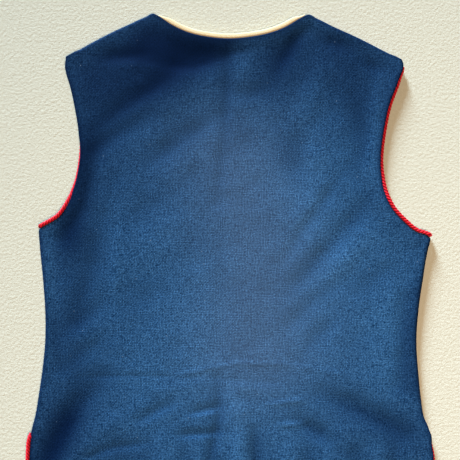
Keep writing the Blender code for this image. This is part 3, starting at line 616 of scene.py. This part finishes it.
def unevenness(x, y):
    """Faint soft waves in all directions."""
    random = np.random.default_rng(UNEVEN_SEED)
    total = np.zeros(x.shape)
    for _ in range(UNEVEN_WAVES):
        length = random.uniform(*UNEVEN_LENGTHS)
        angle = random.uniform(0, math.pi)
        phase = random.uniform(0, 2 * math.pi)
        wave = np.sin((x * math.cos(angle) + y * math.sin(angle)) * 2 * math.pi / length + phase)
        total += UNEVEN_STEEPNESS * length * wave
    return total


def painted_light_and_fade(x, y):
    """How pale the wool is painted at each point, from 0 to a little over 1: painted light and shade, with
    some fading.
    """
    total = EVEN_FADE + FOLD_PAINTED_LIGHT_AND_SHADE * fold_height(x, y)
    for line, width, share in PAINTED_LIGHT_SHADE_AND_FADE:
        away, _, _ = line_distance(x, y, line)
        total += share * np.exp(-(away / width) ** 2)
    return kept_above(total, 0.0, LEVEL_OFF_FADE)


def nearest_edge(plan, edges):
    """Distance in plan from each point to the nearest edge, and how far the seam is folded there."""
    outline = np.vstack([edge.points for edge in edges])
    folded = np.concatenate([edge.folded for edge in edges])
    distance = np.empty(plan.shape[:2])
    fold = np.empty(plan.shape[:2])
    for row, points in enumerate(plan):
        away = np.linalg.norm(points[:, None, :] - outline[None, :, :], axis=-1)
        nearest = np.argmin(away, axis=1)
        distance[row] = away[np.arange(len(points)), nearest]
        fold[row] = folded[nearest]
    return distance, fold


def back_height(panel, side_folded, from_any, any_folded):
    """Height of the middle of the back's wall."""
    x, y = panel.plan[..., 0], panel.plan[..., 1]
    height = BACK_FIELD + fold_height(x, y) + unevenness(x, y) + HEM_LIFT * np.exp(-(y / HEM_LIFT_REACH) ** 2)
    height = kept_above(height, LOWEST_BACK, LEVEL_OFF_HEIGHT)
    side_edge = FREE_EDGE + any_folded * (SEAM_LEVEL + SEAM_RADIUS - FREE_EDGE)
    height += (side_edge - height) * np.exp(-(from_any / EDGE_REACH) ** 2)
    beside_neck = smooth_step((NECK_RISE_WITHIN - np.abs(x)) / NECK_RISE_OVER)
    free_top = FREE_EDGE + (NECK_EDGE - FREE_EDGE) * beside_neck
    top_level = free_top + panel.shoulder * (SEAM_LEVEL + SEAM_RADIUS - free_top)
    height += (top_level - height) * np.exp(-(panel.from_top / EDGE_REACH) ** 2)
    height -= side_folded * roll_drop(panel.from_side)
    height -= panel.shoulder * roll_drop(panel.from_top)
    return height


def height_share(points):
    """How far up its edge each row's point lies, 0 at the hem and 1 at the shoulder's tip."""
    return (points[:, 1] - points[0, 1]) / (points[-1, 1] - points[0, 1])


def panel_plan(inner, outer, share_up, columns):
    """A panel's points seen from above between two of its sides, and how far they lie from its edges.

    Its columns are close together beside its sides, where the wall may roll over.
    """
    width = np.abs(outer[:, 0] - inner[:, 0])[:, None]
    beside = np.tile(np.array(ROLL[:-1]), (len(width), 1))
    middle = ROLL[-1] + np.linspace(0, 1, columns + 1)[None, :] * (width - 2 * ROLL[-1])
    across = np.hstack([beside, middle, width - beside[:, ::-1]])
    s = across / width
    t = np.broadcast_to(share_up[:, None], s.shape)
    bottom = inner[0] + s[..., None] * (outer[0] - inner[0])
    top_x = inner[-1, 0] + s * (outer[-1, 0] - inner[-1, 0])
    top = np.stack([top_x, top_edge(top_x)], axis=-1)
    height = top[..., 1] - bottom[..., 1]
    from_outer = width - across
    from_side = np.minimum(across, from_outer)
    from_top = (1 - t) * height
    from_edge = np.minimum(np.minimum(from_side, from_top), t * height)
    plan = patch(s, t, bottom, top, inner, outer)
    return Panel(plan, from_outer, from_side, from_top, from_edge, on_shoulder(top_x))


def back_grid():
    """Points of the middle of the back's wall, and how far each lies from the nearest edge."""
    left, right = edge_rows(LEFT, front=False), edge_rows(RIGHT, front=False)
    share_up = (height_share(left.points) + height_share(right.points)) / 2
    panel = panel_plan(left.points, right.points, share_up, BACK_COLUMNS)
    nearer_left = panel.from_outer > panel.from_side
    side_folded = np.where(nearer_left, left.folded[:, None], right.folded[:, None])
    from_any, any_folded = nearest_edge(panel.plan, (left, right))
    height = back_height(panel, side_folded, from_any, any_folded)
    return np.dstack([panel.plan, height]), panel.from_edge


def front_neck_line(side):
    """Inner edge of a front above the neck's point, up to the shoulder."""
    start = np.array((side * FRONT_EDGE_OUT, NECK_DEPTH_UP))
    neck_x = side * (NECK_POINT[side] + NECK_WIDER)
    end = np.array((neck_x, float(top_edge(np.array(neck_x)))))
    return dense_curve([start] + [(side * out, up) for out, up in FRONT_NECK_BOW] + [end])


def front_grid(side):
    """Points of the middle of a front's wall, rows from the hem up, columns from centre to side."""
    edge = edge_rows(side, front=True)
    outer, centre_rows = edge.points, edge.first_armhole_row
    neck = front_neck_line(side)
    rise = outer[centre_rows:, 1] - outer[centre_rows, 1]
    neck_points = points_at(neck, rise / rise[-1] * lengths_along(neck)[-1])
    low = FRONT_HEM_UP + CORD + GAP
    share = (outer[:centre_rows, 1] - outer[0, 1]) / (outer[centre_rows, 1] - outer[0, 1])
    centre_up = low + share * (NECK_DEPTH_UP - low)
    centre = np.column_stack([np.full(centre_rows, side * FRONT_EDGE_OUT), centre_up])
    panel = panel_plan(np.vstack([centre, neck_points]), outer, height_share(outer), FRONT_COLUMNS)
    height = FRONT_MIDDLE + edge.folded[:, None] * roll_drop(panel.from_outer)
    height = height + panel.shoulder * roll_drop(panel.from_top)
    return np.dstack([panel.plan, height]), panel.from_edge


def in_frame(points):
    """Millimetres from the hem's centre turned into the frame's metres."""
    return (np.asarray(points) - np.array((*MIDDLE, 0.0))) * MM


def put(name, data):
    """A new object in the scene."""
    made = bpy.data.objects.new(name, data)
    bpy.context.scene.collection.objects.link(made)
    return made


def mesh_object(name, points, faces, finish, uv=None, shares=None):
    """A smooth mesh in the frame, with its finish."""
    mesh = bpy.data.meshes.new(name)
    mesh.from_pydata(in_frame(points).tolist(), [], faces)
    mesh.validate()
    mesh.shade_smooth()
    mesh.materials.append(finish)
    if uv is not None:
        layer = mesh.uv_layers.new(name="thread")
        corners = np.empty(len(mesh.loops), dtype=int)
        mesh.loops.foreach_get("vertex_index", corners)
        layer.uv.foreach_set("vector", np.asarray(uv)[corners].astype(np.float32).ravel())
    for share, numbers in (shares or {}).items():
        values = mesh.attributes.new(share, "FLOAT", "POINT")
        values.data.foreach_set("value", np.asarray(numbers, dtype=np.float32))
    return put(name, mesh)


def surface_normals(grid):
    """Unit normals of a grid of points."""
    across = np.gradient(grid, axis=1)
    up = np.gradient(grid, axis=0)
    normals = np.cross(across, up)
    return normals / np.maximum(np.linalg.norm(normals, axis=-1, keepdims=True), 1e-9)


def grid_faces(rows, columns, first=0, turned=False):
    """Quads of a grid of points."""
    faces = []
    for row in range(rows - 1):
        for column in range(columns - 1):
            a = first + row * columns + column
            quad = (a, a + 1, a + columns + 1, a + columns)
            faces.append(quad[::-1] if turned else quad)
    return faces


def shell_faces(rows, columns):
    """Quads of two grids, the outer one first, closed round their rim."""
    count = rows * columns
    faces = grid_faces(rows, columns) + grid_faces(rows, columns, count, turned=True)
    rim = list(range(columns))
    rim += [row * columns + columns - 1 for row in range(1, rows)]
    rim += [(rows - 1) * columns + column for column in range(columns - 2, -1, -1)]
    rim += [row * columns for row in range(rows - 2, 0, -1)]
    for a, b in zip(rim, rim[1:] + rim[:1]):
        faces.append((b, a, a + count, b + count))
    return faces


def tube_faces(rows, around, first=0):
    """Faces of a tube of rings of points, closed at both ends."""
    faces = []
    for row in range(rows - 1):
        for k in range(around):
            a = first + row * around + k
            b = first + row * around + (k + 1) % around
            faces.append((a, b, b + around, a + around))
    last = first + (rows - 1) * around
    faces.append(tuple(first + k for k in reversed(range(around))))
    faces.append(tuple(last + k for k in range(around)))
    return faces


def cloth_shell(name, grid, from_edge, finish):
    """A thin closed shell of cloth whose cut edges are rounded."""
    rows, columns = grid.shape[:2]
    normals = surface_normals(grid)
    if normals[rows // 2, columns // 2, 2] < 0:
        grid, from_edge, normals = grid[:, ::-1], from_edge[:, ::-1], -normals[:, ::-1]
    round_off = 1 - np.clip(from_edge / EDGE_ROUNDING, 0, 1)
    half = WALL / 2 * (EDGE_SHARE + (1 - EDGE_SHARE) * np.sqrt(1 - round_off ** 2))
    outer = (grid + normals * half[..., None]).reshape(-1, 3)
    inner = (grid - normals * half[..., None]).reshape(-1, 3)
    # Greyer down the middle of the back: worn cloth and a painted sheen
    away, _, _ = line_distance(grid[..., 0], grid[..., 1], WORN_AND_SHEEN_LINE)
    worn = np.exp(-(away / WORN_AND_SHEEN_WIDTH) ** 2).ravel()
    # Painted shade along the turned edges
    turned = EDGE_PAINTED_SHADE * np.exp(-(from_edge / EDGE_PAINTED_SHADE_WIDTH) ** 2)
    # How pale the wool is painted: painted light and shade, with some fading
    pale = (painted_light_and_fade(grid[..., 0], grid[..., 1]) * (1 - turned)).ravel()
    shares = {"wear_and_sheen": np.concatenate([worn, 0 * worn]), "painted_light_and_fade": np.concatenate([pale, 0 * pale])}
    return mesh_object(name, np.vstack([outer, inner]), shell_faces(rows, columns), finish, shares=shares)


def along_path(path, step):
    """The path resampled at even steps."""
    curve = dense_curve(path, per_span=10)
    total = lengths_along(curve)[-1]
    return points_at(curve, np.linspace(0, total, max(2, int(round(total / step)))))


def path_frames(path):
    """Two unit normals at each point of a path, which turn as little as they can."""
    tangents = unit(np.gradient(path, axis=0))
    side = np.cross(tangents[0], (0.0, 0.0, 1.0))
    sides = []
    for tangent in tangents:
        side = side - side.dot(tangent) * tangent
        side = side / np.linalg.norm(side)
        sides.append(side)
    sides = np.array(sides)
    return sides, np.cross(tangents, sides)


def twisted_cord(name, path, finish, slender=None):
    """Strands twisted round each other along the path, each with its yarns' direction as its UV."""
    path = along_path(path, CORD_STEP)
    sideways, upward = path_frames(path)
    along = lengths_along(path)
    end = np.minimum(along, along[-1] - along)
    full = np.ones(len(path)) if slender is None else slender(path)
    radius = STRAND * full * np.sqrt(np.clip(end / CORD_END, CORD_TIP, 1.0))
    points, uv, faces = [], [], []
    for strand in range(STRANDS):
        angle = 2 * math.pi * (strand / STRANDS - along / TWIST_LENGTH)
        spoke = sideways * np.cos(angle)[:, None] + upward * np.sin(angle)[:, None]
        middle = path + spoke * (TWIST * full)[:, None]
        tangent = unit(np.gradient(middle, axis=0))
        spoke = unit(spoke - np.sum(spoke * tangent, axis=1)[:, None] * tangent)
        across = np.cross(tangent, spoke)
        faces += tube_faces(len(path), STRAND_SIDES, first=len(points))
        for row in range(len(path)):
            for k in range(STRAND_SIDES):
                turn = 2 * math.pi * k / STRAND_SIDES + math.pi
                reach = spoke[row] * math.cos(turn) + across[row] * math.sin(turn)
                points.append(middle[row] + radius[row] * reach)
                uv.append((along[row] / THREAD_UNIT, k / STRAND_SIDES))
    cord = mesh_object(name, points, faces, finish, uv=uv)
    cord.visible_diffuse = False   # it doesn't tint the surface beside it
    return cord


def run_beside(edge, side, outward, downward, level=None):
    """Centre of a cord beside a run of edge points that goes up the given side."""
    normals = -inward_normals(edge[:, :2], side)
    outward = outward - PRESSED * np.clip(outward / BESIDE_EDGE, 0, 1)
    height = edge[:, 2] - downward if level is None else np.full(len(edge), level)
    return np.column_stack([edge[:, :2] + normals * outward[:, None], height])


def turn_between(last, first, outward, steps=5):
    """Points of a half circle from one run of cord to the next, bulging outward."""
    middle = (last + first) / 2
    half = (last - first) / 2
    radius = np.linalg.norm(half)
    outward = outward / np.linalg.norm(outward)
    angles = [math.pi * k / (steps + 1) for k in range(1, steps + 1)]
    return [middle + half * math.cos(a) + outward * radius * math.sin(a) for a in angles]


def thinned(points, spacing, start=0.0, end=0.0):
    """The run's points about this far apart, without these lengths at its start and end."""
    total = lengths_along(points)[-1]
    steps = max(2, int((total - start - end) / spacing) + 1)
    return points_at(points, np.linspace(start, total - end, steps))


def armhole_run(side, grid, column, level=None):
    """Centre of the cord up one panel's armhole, from the underarm to the shoulder."""
    edge = edge_rows(side, front=level is not None)
    rows = slice(edge.first_armhole_row, len(grid) - len(ROLL) + 1)
    run = run_beside(grid[rows, column], side, edge.cord_out[rows], edge.cord_down[rows], level)
    return thinned(run, ARMHOLE_SPACING, TURN_BACK, SHORT_OF_TIP)


def armhole_cord(side, back, front, finish):
    """One cord down the back's armhole, round the underarm and up the front's armhole."""
    back_run = armhole_run(side, back, 0 if side == LEFT else -1)
    front_run = armhole_run(side, front, -1, FRONT_CORD)
    underarm = turn_between(back_run[0], front_run[0], back_run[0] - back_run[1])
    path = list(back_run[::-1]) + underarm + list(front_run)
    return twisted_cord(f"cord_armhole_{WORD[side]}_twist", path, finish)


def vent_run(grid, column, side, level):
    """Centre of the cord up a vent, from the hem's corner to just under its top."""
    edge = edge_rows(side, front=level is not None)
    rows = slice(0, edge.first_seam_row)
    run = run_beside(grid[rows, column], side, edge.cord_out[rows], edge.cord_down[rows], level)
    return thinned(run, VENT_SPACING, CORD + GAP, BELOW_VENT_TOP + SHORT_OF_ROW)


def hem_run(grid, level):
    """Centre of the cord along a hem, between its corners."""
    edge = grid[0, HEM_CORNER_COLUMNS:-HEM_CORNER_COLUMNS]
    height = edge[:, 2] if level is None else np.full(len(edge), level)
    reach = BESIDE_EDGE - PRESSED
    return thinned(np.column_stack([edge[:, 0], edge[:, 1] - reach, height]), VENT_SPACING)


def back_hem_cord(back, finish):
    """One cord down the left vent, along the back's hem and up the right vent."""
    left = vent_run(back, 0, LEFT, None)
    right = vent_run(back, -1, RIGHT, None)
    hem = hem_run(back, None)
    tip = [left[-1] + np.array(step) for step in LEFT_VENT_TIP]
    path = tip[::-1] + list(left[::-1]) + list(hem) + list(right)

    def slender(points):
        beyond = np.clip((points[:, 1] - left[-1][1]) / LEFT_VENT_TIP[-1][1], 0, 1)
        return 1 - LEFT_VENT_SLENDER * np.where(points[:, 0] < 0, beyond, 0.0)

    return twisted_cord("cord_hem_back_twist", path, finish, slender)


def front_hem_cord(side, front, finish):
    """One cord down a vent and along a front's hem to the centre front."""
    vent = vent_run(front, -1, side, FRONT_CORD)
    hem = hem_run(front, FRONT_CORD)
    path = list(vent[::-1]) + list(hem[::-1])
    return twisted_cord(f"cord_hem_front_{WORD[side]}_twist", path, finish)


def bound_edge(name, edge, normals, widths, droop, finish):
    """A folded band beside an edge: flat by the seam, rounded over at its free side."""
    points, uv = [], []
    along = lengths_along(edge)
    for row, (place, away, width) in enumerate(zip(edge, normals, widths)):
        thick = BAND_HEIGHT * min(1.0, BAND_THIN_SHARE + width / BAND_WIDTH)
        for share, height in BAND_SECTION:
            reach = GAP + share * width
            rise = height * thick - droop * share ** 2
            points.append((place[0] + away[0] * reach, place[1] + away[1] * reach, place[2] + rise))
            uv.append((along[row] / THREAD_UNIT, share * width / THREAD_UNIT))
    return mesh_object(name, points, tube_faces(len(edge), len(BAND_SECTION)), finish, uv=uv)


def back_neck_band(back, finish):
    """The cream band along the back neck, narrowing to the neck's points."""
    edge = back[-1]
    edge = edge[(edge[:, 0] > BAND_ENDS[LEFT]) & (edge[:, 0] < BAND_ENDS[RIGHT])]
    edge = thinned(edge, BAND_STEP)
    normals = -inward_normals(edge[:, :2], LEFT)
    normals *= np.sign(normals[:, 1])[:, None]
    end = np.minimum(edge[:, 0] - BAND_ENDS[LEFT], BAND_ENDS[RIGHT] - edge[:, 0])
    widths = BAND_END_WIDTH + (BAND_WIDTH - BAND_END_WIDTH) * smooth_step(end / BAND_WIDENS_OVER)
    edge = edge - np.array((0, 0, BAND_BELOW))
    return bound_edge("neck_band_back_fold", edge, normals, widths, BAND_DROOP, finish)


def front_neck_band(side, front, finish):
    """The same band along a front's neck edge."""
    first = edge_rows(side, front=True).first_armhole_row
    edge = thinned(front[first:-len(ROLL), 0], FRONT_BAND_STEP)
    edge[:, 2] = BAND_HEIGHT / 2 + CLEAR_OF_FLOOR
    normals = inward_normals(edge[:, :2], side)
    room = np.abs(edge[:, 0]) / np.maximum(np.abs(normals[:, 0]), LEAST_ACROSS) - 2 * GAP
    widths = np.clip(room, BAND_LEAST_WIDTH, BAND_WIDTH)
    return bound_edge(f"neck_band_front_{WORD[side]}_fold", edge, normals, widths, 0.0, finish)


class Finish:
    """A material under construction, with short calls that add and join its nodes."""

    def __init__(self, name):
        self.material = bpy.data.materials.new(name)
        self.material.use_nodes = True
        self.tree = self.material.node_tree
        self.shader = self.tree.nodes["Principled BSDF"]
        self.place = self.tree.nodes.new("ShaderNodeTexCoord").outputs["Object"]

    def node(self, kind, inputs=(), **settings):
        """A node with its settings, and its inputs set or joined by name or number."""
        made = self.tree.nodes.new(kind)
        for key, value in settings.items():
            setattr(made, key, value)
        for key, value in dict(inputs).items():
            if isinstance(value, bpy.types.NodeSocket):
                self.tree.links.new(value, made.inputs[key])
            else:
                made.inputs[key].default_value = value
        return made

    def math(self, operation, a, b=0.0, clamp=False):
        """A sum or other reckoning of one or two values."""
        return self.node("ShaderNodeMath", {0: a, 1: b}, operation=operation, use_clamp=clamp).outputs[0]

    def vector(self, operation, a, b):
        """A sum or other reckoning of two vectors, part by part."""
        return self.node("ShaderNodeVectorMath", {0: a, 1: b}, operation=operation).outputs[0]

    def attribute(self, name):
        """A number that the mesh has at each of its points."""
        return self.node("ShaderNodeAttribute", attribute_name=name).outputs["Fac"]

    def thread_coordinates(self):
        """Along and round or across a cord or a band."""
        return self.node("ShaderNodeUVMap", uv_map="thread").outputs[0]

    def parts(self, vector):
        """The first two parts of a vector."""
        return self.node("ShaderNodeSeparateXYZ", {0: vector}).outputs[:2]

    def noise(self, vector, scale, detail=2.0, roughness=0.5):
        """Soft noise from 0 to 1."""
        inputs = {"Vector": vector, "Scale": scale, "Detail": detail, "Roughness": roughness}
        return self.node("ShaderNodeTexNoise", inputs).outputs["Fac"]

    def ramp(self, value, low, high, to_low=0.0, to_high=1.0):
        """The value taken from one range to another, and held inside it."""
        inputs = {"Value": value, "From Min": low, "From Max": high, "To Min": to_low, "To Max": to_high}
        return self.node("ShaderNodeMapRange", inputs).outputs[0]

    def mix(self, share, first, second):
        """One colour turning into another."""
        made = self.node("ShaderNodeMix", {0: share}, data_type="RGBA")
        for key, value in ((6, first), (7, second)):
            if isinstance(value, bpy.types.NodeSocket):
                self.tree.links.new(value, made.inputs[key])
            else:
                made.inputs[key].default_value = (*value, 1.0)
        return made.outputs[2]

    def join(self, value, socket):
        """Feeds one of the shader's sockets."""
        self.tree.links.new(value, self.shader.inputs[socket])

    def set(self, **sockets):
        """Numbers and colours on the shader's own sockets."""
        for key, value in sockets.items():
            self.shader.inputs[key.replace("_", " ")].default_value = value

    def bump(self, height, distance, strength=1.0):
        """Fine relief."""
        made = self.node("ShaderNodeBump", {"Height": height, "Distance": distance, "Strength": strength})
        self.join(made.outputs[0], "Normal")


def side_by_side_threads(finish, across, along, first_over):
    """How round each thread is across, and its height as it runs over and under the others."""
    roundness = finish.math("ABSOLUTE", finish.math("SINE", finish.math("MULTIPLY", across, math.pi)))
    shifted = finish.math("ADD", along, finish.math("FLOOR", across))
    wave = finish.math("COSINE", finish.math("MULTIPLY", shifted, math.pi))
    return roundness, finish.math("MULTIPLY", roundness, finish.ramp(wave, -first_over, first_over))


def plain_weave(finish, place, spacing):
    """Height of a plain weave, and how far a place is from the lines between its threads, both 0 to 1."""
    u, v = (finish.math("DIVIDE", part, spacing) for part in finish.parts(place))
    warp_round, warp = side_by_side_threads(finish, u, v, 1)
    weft_round, weft = side_by_side_threads(finish, v, u, -1)
    return finish.math("MAXIMUM", warp, weft), finish.math("MULTIPLY", warp_round, weft_round)


def bent_place(made):
    """The place in the cloth, moved a little so that the threads wander."""
    drift = made.node("ShaderNodeTexNoise", {"Vector": made.place, "Scale": WANDER_SCALE, "Detail": 1.0})
    drift = made.vector("SUBTRACT", drift.outputs["Color"], (0.5, 0.5, 0.5))
    drift = made.vector("MULTIPLY", drift, (THREAD_WANDER, THREAD_WANDER, THREAD_WANDER))
    return made.vector("ADD", drift, made.place)


def uneven_threads(made):
    """Short streaks down and across, from 0 to 1."""
    down = made.vector("MULTIPLY", made.place, (ACROSS_THREAD, ALONG_THREAD, ALONG_THREAD))
    across = made.vector("MULTIPLY", made.place, (ALONG_THREAD, ACROSS_THREAD, ALONG_THREAD))
    both = made.math("ADD", made.noise(down, 1.0, 1.0), made.noise(across, 1.0, 1.0))
    return made.math("MULTIPLY", both, 0.5)


def lint_specks(made):
    """Sparse round flecks."""
    cells = made.node("ShaderNodeTexVoronoi", {"Vector": made.place, "Scale": LINT_SCALE}, feature="F1")
    speck = made.ramp(cells.outputs["Distance"], 0.045, 0.075, 1.0, 0.0)
    picked = made.math("GREATER_THAN", made.noise(made.place, LINT_PATCH_SCALE, 0.0), 0.60)
    return made.math("MULTIPLY", made.math("MULTIPLY", speck, picked), 0.6)


def navy_wool(name):
    """Navy wool in a plain weave with uneven threads, painted paler as light and with some fading, dark navy
    as painted shade, and greyer where worn and with a painted sheen.
    """
    made = Finish(name)
    height, off_lines = plain_weave(made, bent_place(made), THREAD_SPACING)
    thread = uneven_threads(made)
    cloudy = made.noise(made.place, CLOUD_SCALE, 1.0)
    hairs = made.noise(made.place, HAIR_SCALE, 2.0, 0.7)

    shade = made.ramp(thread, 0.34, 0.66)
    # The navy in painted shade, and the navy painted lit with some fading
    deep = made.mix(shade, *NAVY_IN_PAINTED_SHADE)
    pale = made.mix(shade, *NAVY_FADED_AND_PAINTED_LIT)
    pale = made.mix(made.ramp(cloudy, 0.35, 0.7, 0.0, 0.15), pale, CLOUDED_NAVY)
    pale = made.mix(made.ramp(hairs, 0.55, 0.8, 0.0, 0.30), pale, HAIR_BLUE)
    # Greyer where worn and with a painted sheen, down the middle of the back
    pale = made.mix(made.ramp(made.attribute("wear_and_sheen"), 0.0, 1.0, 0.0, 0.36), pale, WORN_AND_SHEEN_BLUE)
    # Painted light and shade: the painted-lit navy over the navy in painted shade, by that share
    colour = made.mix(made.attribute("painted_light_and_fade"), deep, pale)
    colour = made.mix(made.ramp(off_lines, 0.0, 0.6, 0.80, 0.0), colour, BETWEEN_THREADS)
    colour = made.mix(lint_specks(made), colour, LINT)
    made.join(colour, "Base Color")
    made.join(made.ramp(thread, 0.3, 0.7, 0.78, 0.66), "Roughness")
    relief = made.math("ADD", made.math("MULTIPLY", height, 0.7), made.math("MULTIPLY", thread, 0.6))
    relief = made.math("ADD", relief, made.math("MULTIPLY", hairs, 0.25))
    made.bump(relief, 0.00010, 0.8)
    made.set(Specular_IOR_Level=0.27, Specular_Tint=(0.16, 0.52, 1.0, 1.0))
    made.set(Sheen_Weight=0.05, Sheen_Roughness=0.45, Sheen_Tint=(0.30, 0.58, 0.95, 1.0))
    return made.material


def red_cord(name):
    """Red cord: its red where a strand is round, painted shade in the groove, with fine yarns along it."""
    made = Finish(name)
    thread = made.thread_coordinates()
    _, around = made.parts(thread)
    inward = made.math("ABSOLUTE", made.math("COSINE", made.math("MULTIPLY", around, math.pi)))
    yarns = made.noise(made.vector("MULTIPLY", thread, (9.0, 14.0, 1.0)), 1.0, 3.0, 0.65)
    hairs = made.noise(made.place, 1800.0, 2.0, 0.6)
    colour = made.mix(made.ramp(yarns, 0.3, 0.7), *STRAND_RED)
    colour = made.mix(made.ramp(hairs, 0.5, 0.8, 0.0, 0.3), colour, HAIR_RED)
    # Painted shade where the strands turn in towards each other
    colour = made.mix(made.ramp(inward, 0.24, 0.66, 0.0, 0.84), colour, GROOVE_PAINTED_SHADE_RED)
    made.join(colour, "Base Color")
    made.join(made.ramp(yarns, 0.3, 0.7, 0.75, 0.5), "Roughness")
    made.bump(made.math("ADD", yarns, made.math("MULTIPLY", hairs, 0.5)), 0.00025, 0.8)
    made.set(Specular_IOR_Level=0.35, Sheen_Weight=0.2, Sheen_Roughness=0.4, Sheen_Tint=(1.0, 0.5, 0.5, 1.0))
    made.set(Subsurface_Weight=0.45, Subsurface_Radius=(1.0, 0.25, 0.25), Subsurface_Scale=0.0025)
    return made.material


def cream_band(name):
    """Cream binding in a fine weave."""
    made = Finish(name)
    thread = made.thread_coordinates()
    height, _ = plain_weave(made, thread, BAND_WEAVE)
    slubs = made.noise(made.vector("MULTIPLY", thread, (3.0, 30.0, 1.0)), 1.0, 2.0)
    soft = made.noise(made.place, 55.0, 2.0)
    colour = made.mix(made.ramp(slubs, 0.3, 0.7), *BAND_CREAM)
    colour = made.mix(made.ramp(soft, 0.35, 0.7, 0.0, 0.4), colour, SOFT_CREAM)
    colour = made.mix(made.ramp(height, 0.0, 0.3, 0.25, 0.0), colour, BETWEEN_BAND_THREADS)
    made.join(colour, "Base Color")
    made.join(made.ramp(slubs, 0.3, 0.7, 0.85, 0.7), "Roughness")
    made.bump(height, 0.00012, 0.7)
    made.set(Specular_IOR_Level=0.3, Sheen_Weight=0.15, Sheen_Roughness=0.4)
    return made.material


def pale_floor(name):
    """A plain pale surface with the least grain."""
    made = Finish(name)
    grain = made.noise(made.place, 300.0, 4.0, 0.65)
    cloudy = made.noise(made.place, 6.0, 2.0)
    colour = made.mix(made.ramp(grain, 0.3, 0.7), *FLOOR_TONES)
    colour = made.mix(made.ramp(cloudy, 0.3, 0.7, 0.0, 0.4), colour, CLOUDED_FLOOR)
    made.join(colour, "Base Color")
    made.bump(grain, 0.0010, 0.6)
    made.set(Roughness=0.95, Specular_IOR_Level=0.1)
    return made.material


def lay_floor():
    """The surface that the vest lies on."""
    bpy.ops.mesh.primitive_grid_add(x_subdivisions=FLOOR_CELLS, y_subdivisions=FLOOR_CELLS, size=FLOOR_SIZE)
    floor = bpy.context.object
    floor.name = "floor"
    floor.data.materials.append(pale_floor("pale_floor"))


def place_camera():
    """Straight above the vest, as the photo was taken."""
    data = bpy.data.cameras.new("camera")
    data.lens = CAMERA_LENS
    data.sensor_width = CAMERA_SENSOR
    data.clip_start = 0.01
    camera = put("camera", data)
    height = CAMERA_FIELD * CAMERA_LENS / CAMERA_SENSOR + PICTURE_PLANE
    camera.location = (*in_frame((*CAMERA_OVER, 0.0))[:2], height)
    bpy.context.scene.camera = camera


def place_lights():
    """A low soft key from above the neck, slightly left, a soft lamp overhead and a faint fill."""
    key = bpy.data.lights.new("key", "SUN")
    key.energy = KEY_STRENGTH
    key.angle = math.radians(KEY_SOFTNESS)
    key.color = KEY_COLOUR
    lamp = put("key", key)
    down = math.tan(math.radians(KEY_ELEVATION)) * math.hypot(*KEY_TRAVELS)
    lamp.rotation_mode = "QUATERNION"
    lamp.rotation_quaternion = Vector((*KEY_TRAVELS, -down)).to_track_quat("-Z", "Y")

    soft = bpy.data.lights.new("overhead", "AREA")
    soft.shape = "DISK"
    soft.size = LAMP_SIZE
    soft.energy = LAMP_POWER
    soft.color = LAMP_COLOUR
    above = put("overhead", soft)
    above.location = (*LAMP_OVER, LAMP_HEIGHT)

    world = bpy.data.worlds.new("studio")
    world.use_nodes = True
    fill = world.node_tree.nodes["Background"]
    fill.inputs["Color"].default_value = (*FILL_COLOUR, 1.0)
    fill.inputs["Strength"].default_value = FILL_STRENGTH
    bpy.context.scene.world = world
    bpy.context.scene.view_settings.view_transform = "Standard"
    bpy.context.scene.view_settings.look = "Medium High Contrast"


def declare(piece, slot, *nodes):
    """Puts the piece on the root and hides the solids that it stands for; the slot is not used."""
    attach(piece, "root")
    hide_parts(*nodes)
    return piece


def build():
    """The vest's pieces, each with its finish, and what lies on what."""
    navy = navy_wool("navy_wool_cloth")
    red = red_cord("red_cord_twist")
    cream = cream_band("cream_band_weave")

    back, back_from_edge = back_grid()
    back_cloth = declare(cloth_shell("back_cloth", back, back_from_edge, navy), "navy_wool", "back")
    hem_cord = declare(back_hem_cord(back, red), "red_cord", "cord_hem_back")
    band = declare(back_neck_band(back, cream), "cream_band", "neck_band_back")
    for side in (LEFT, RIGHT):
        word = WORD[side]
        front, from_edge = front_grid(side)
        rows = sorted({*range(0, len(front), FRONT_STEP), len(front) - 1})
        cloth = cloth_shell(f"front_{word}_cloth", front[rows], from_edge[rows], navy)
        declare(cloth, "navy_wool", f"front_{word}")
        armhole = declare(armhole_cord(side, back, front, red), "red_cord", f"cord_armhole_{word}")
        hem = declare(front_hem_cord(side, front, red), "red_cord", f"cord_hem_front_{word}")
        neck = declare(front_neck_band(side, front, cream), "cream_band", f"neck_band_front_{word}")


lay_floor()
place_camera()
place_lights()
build()
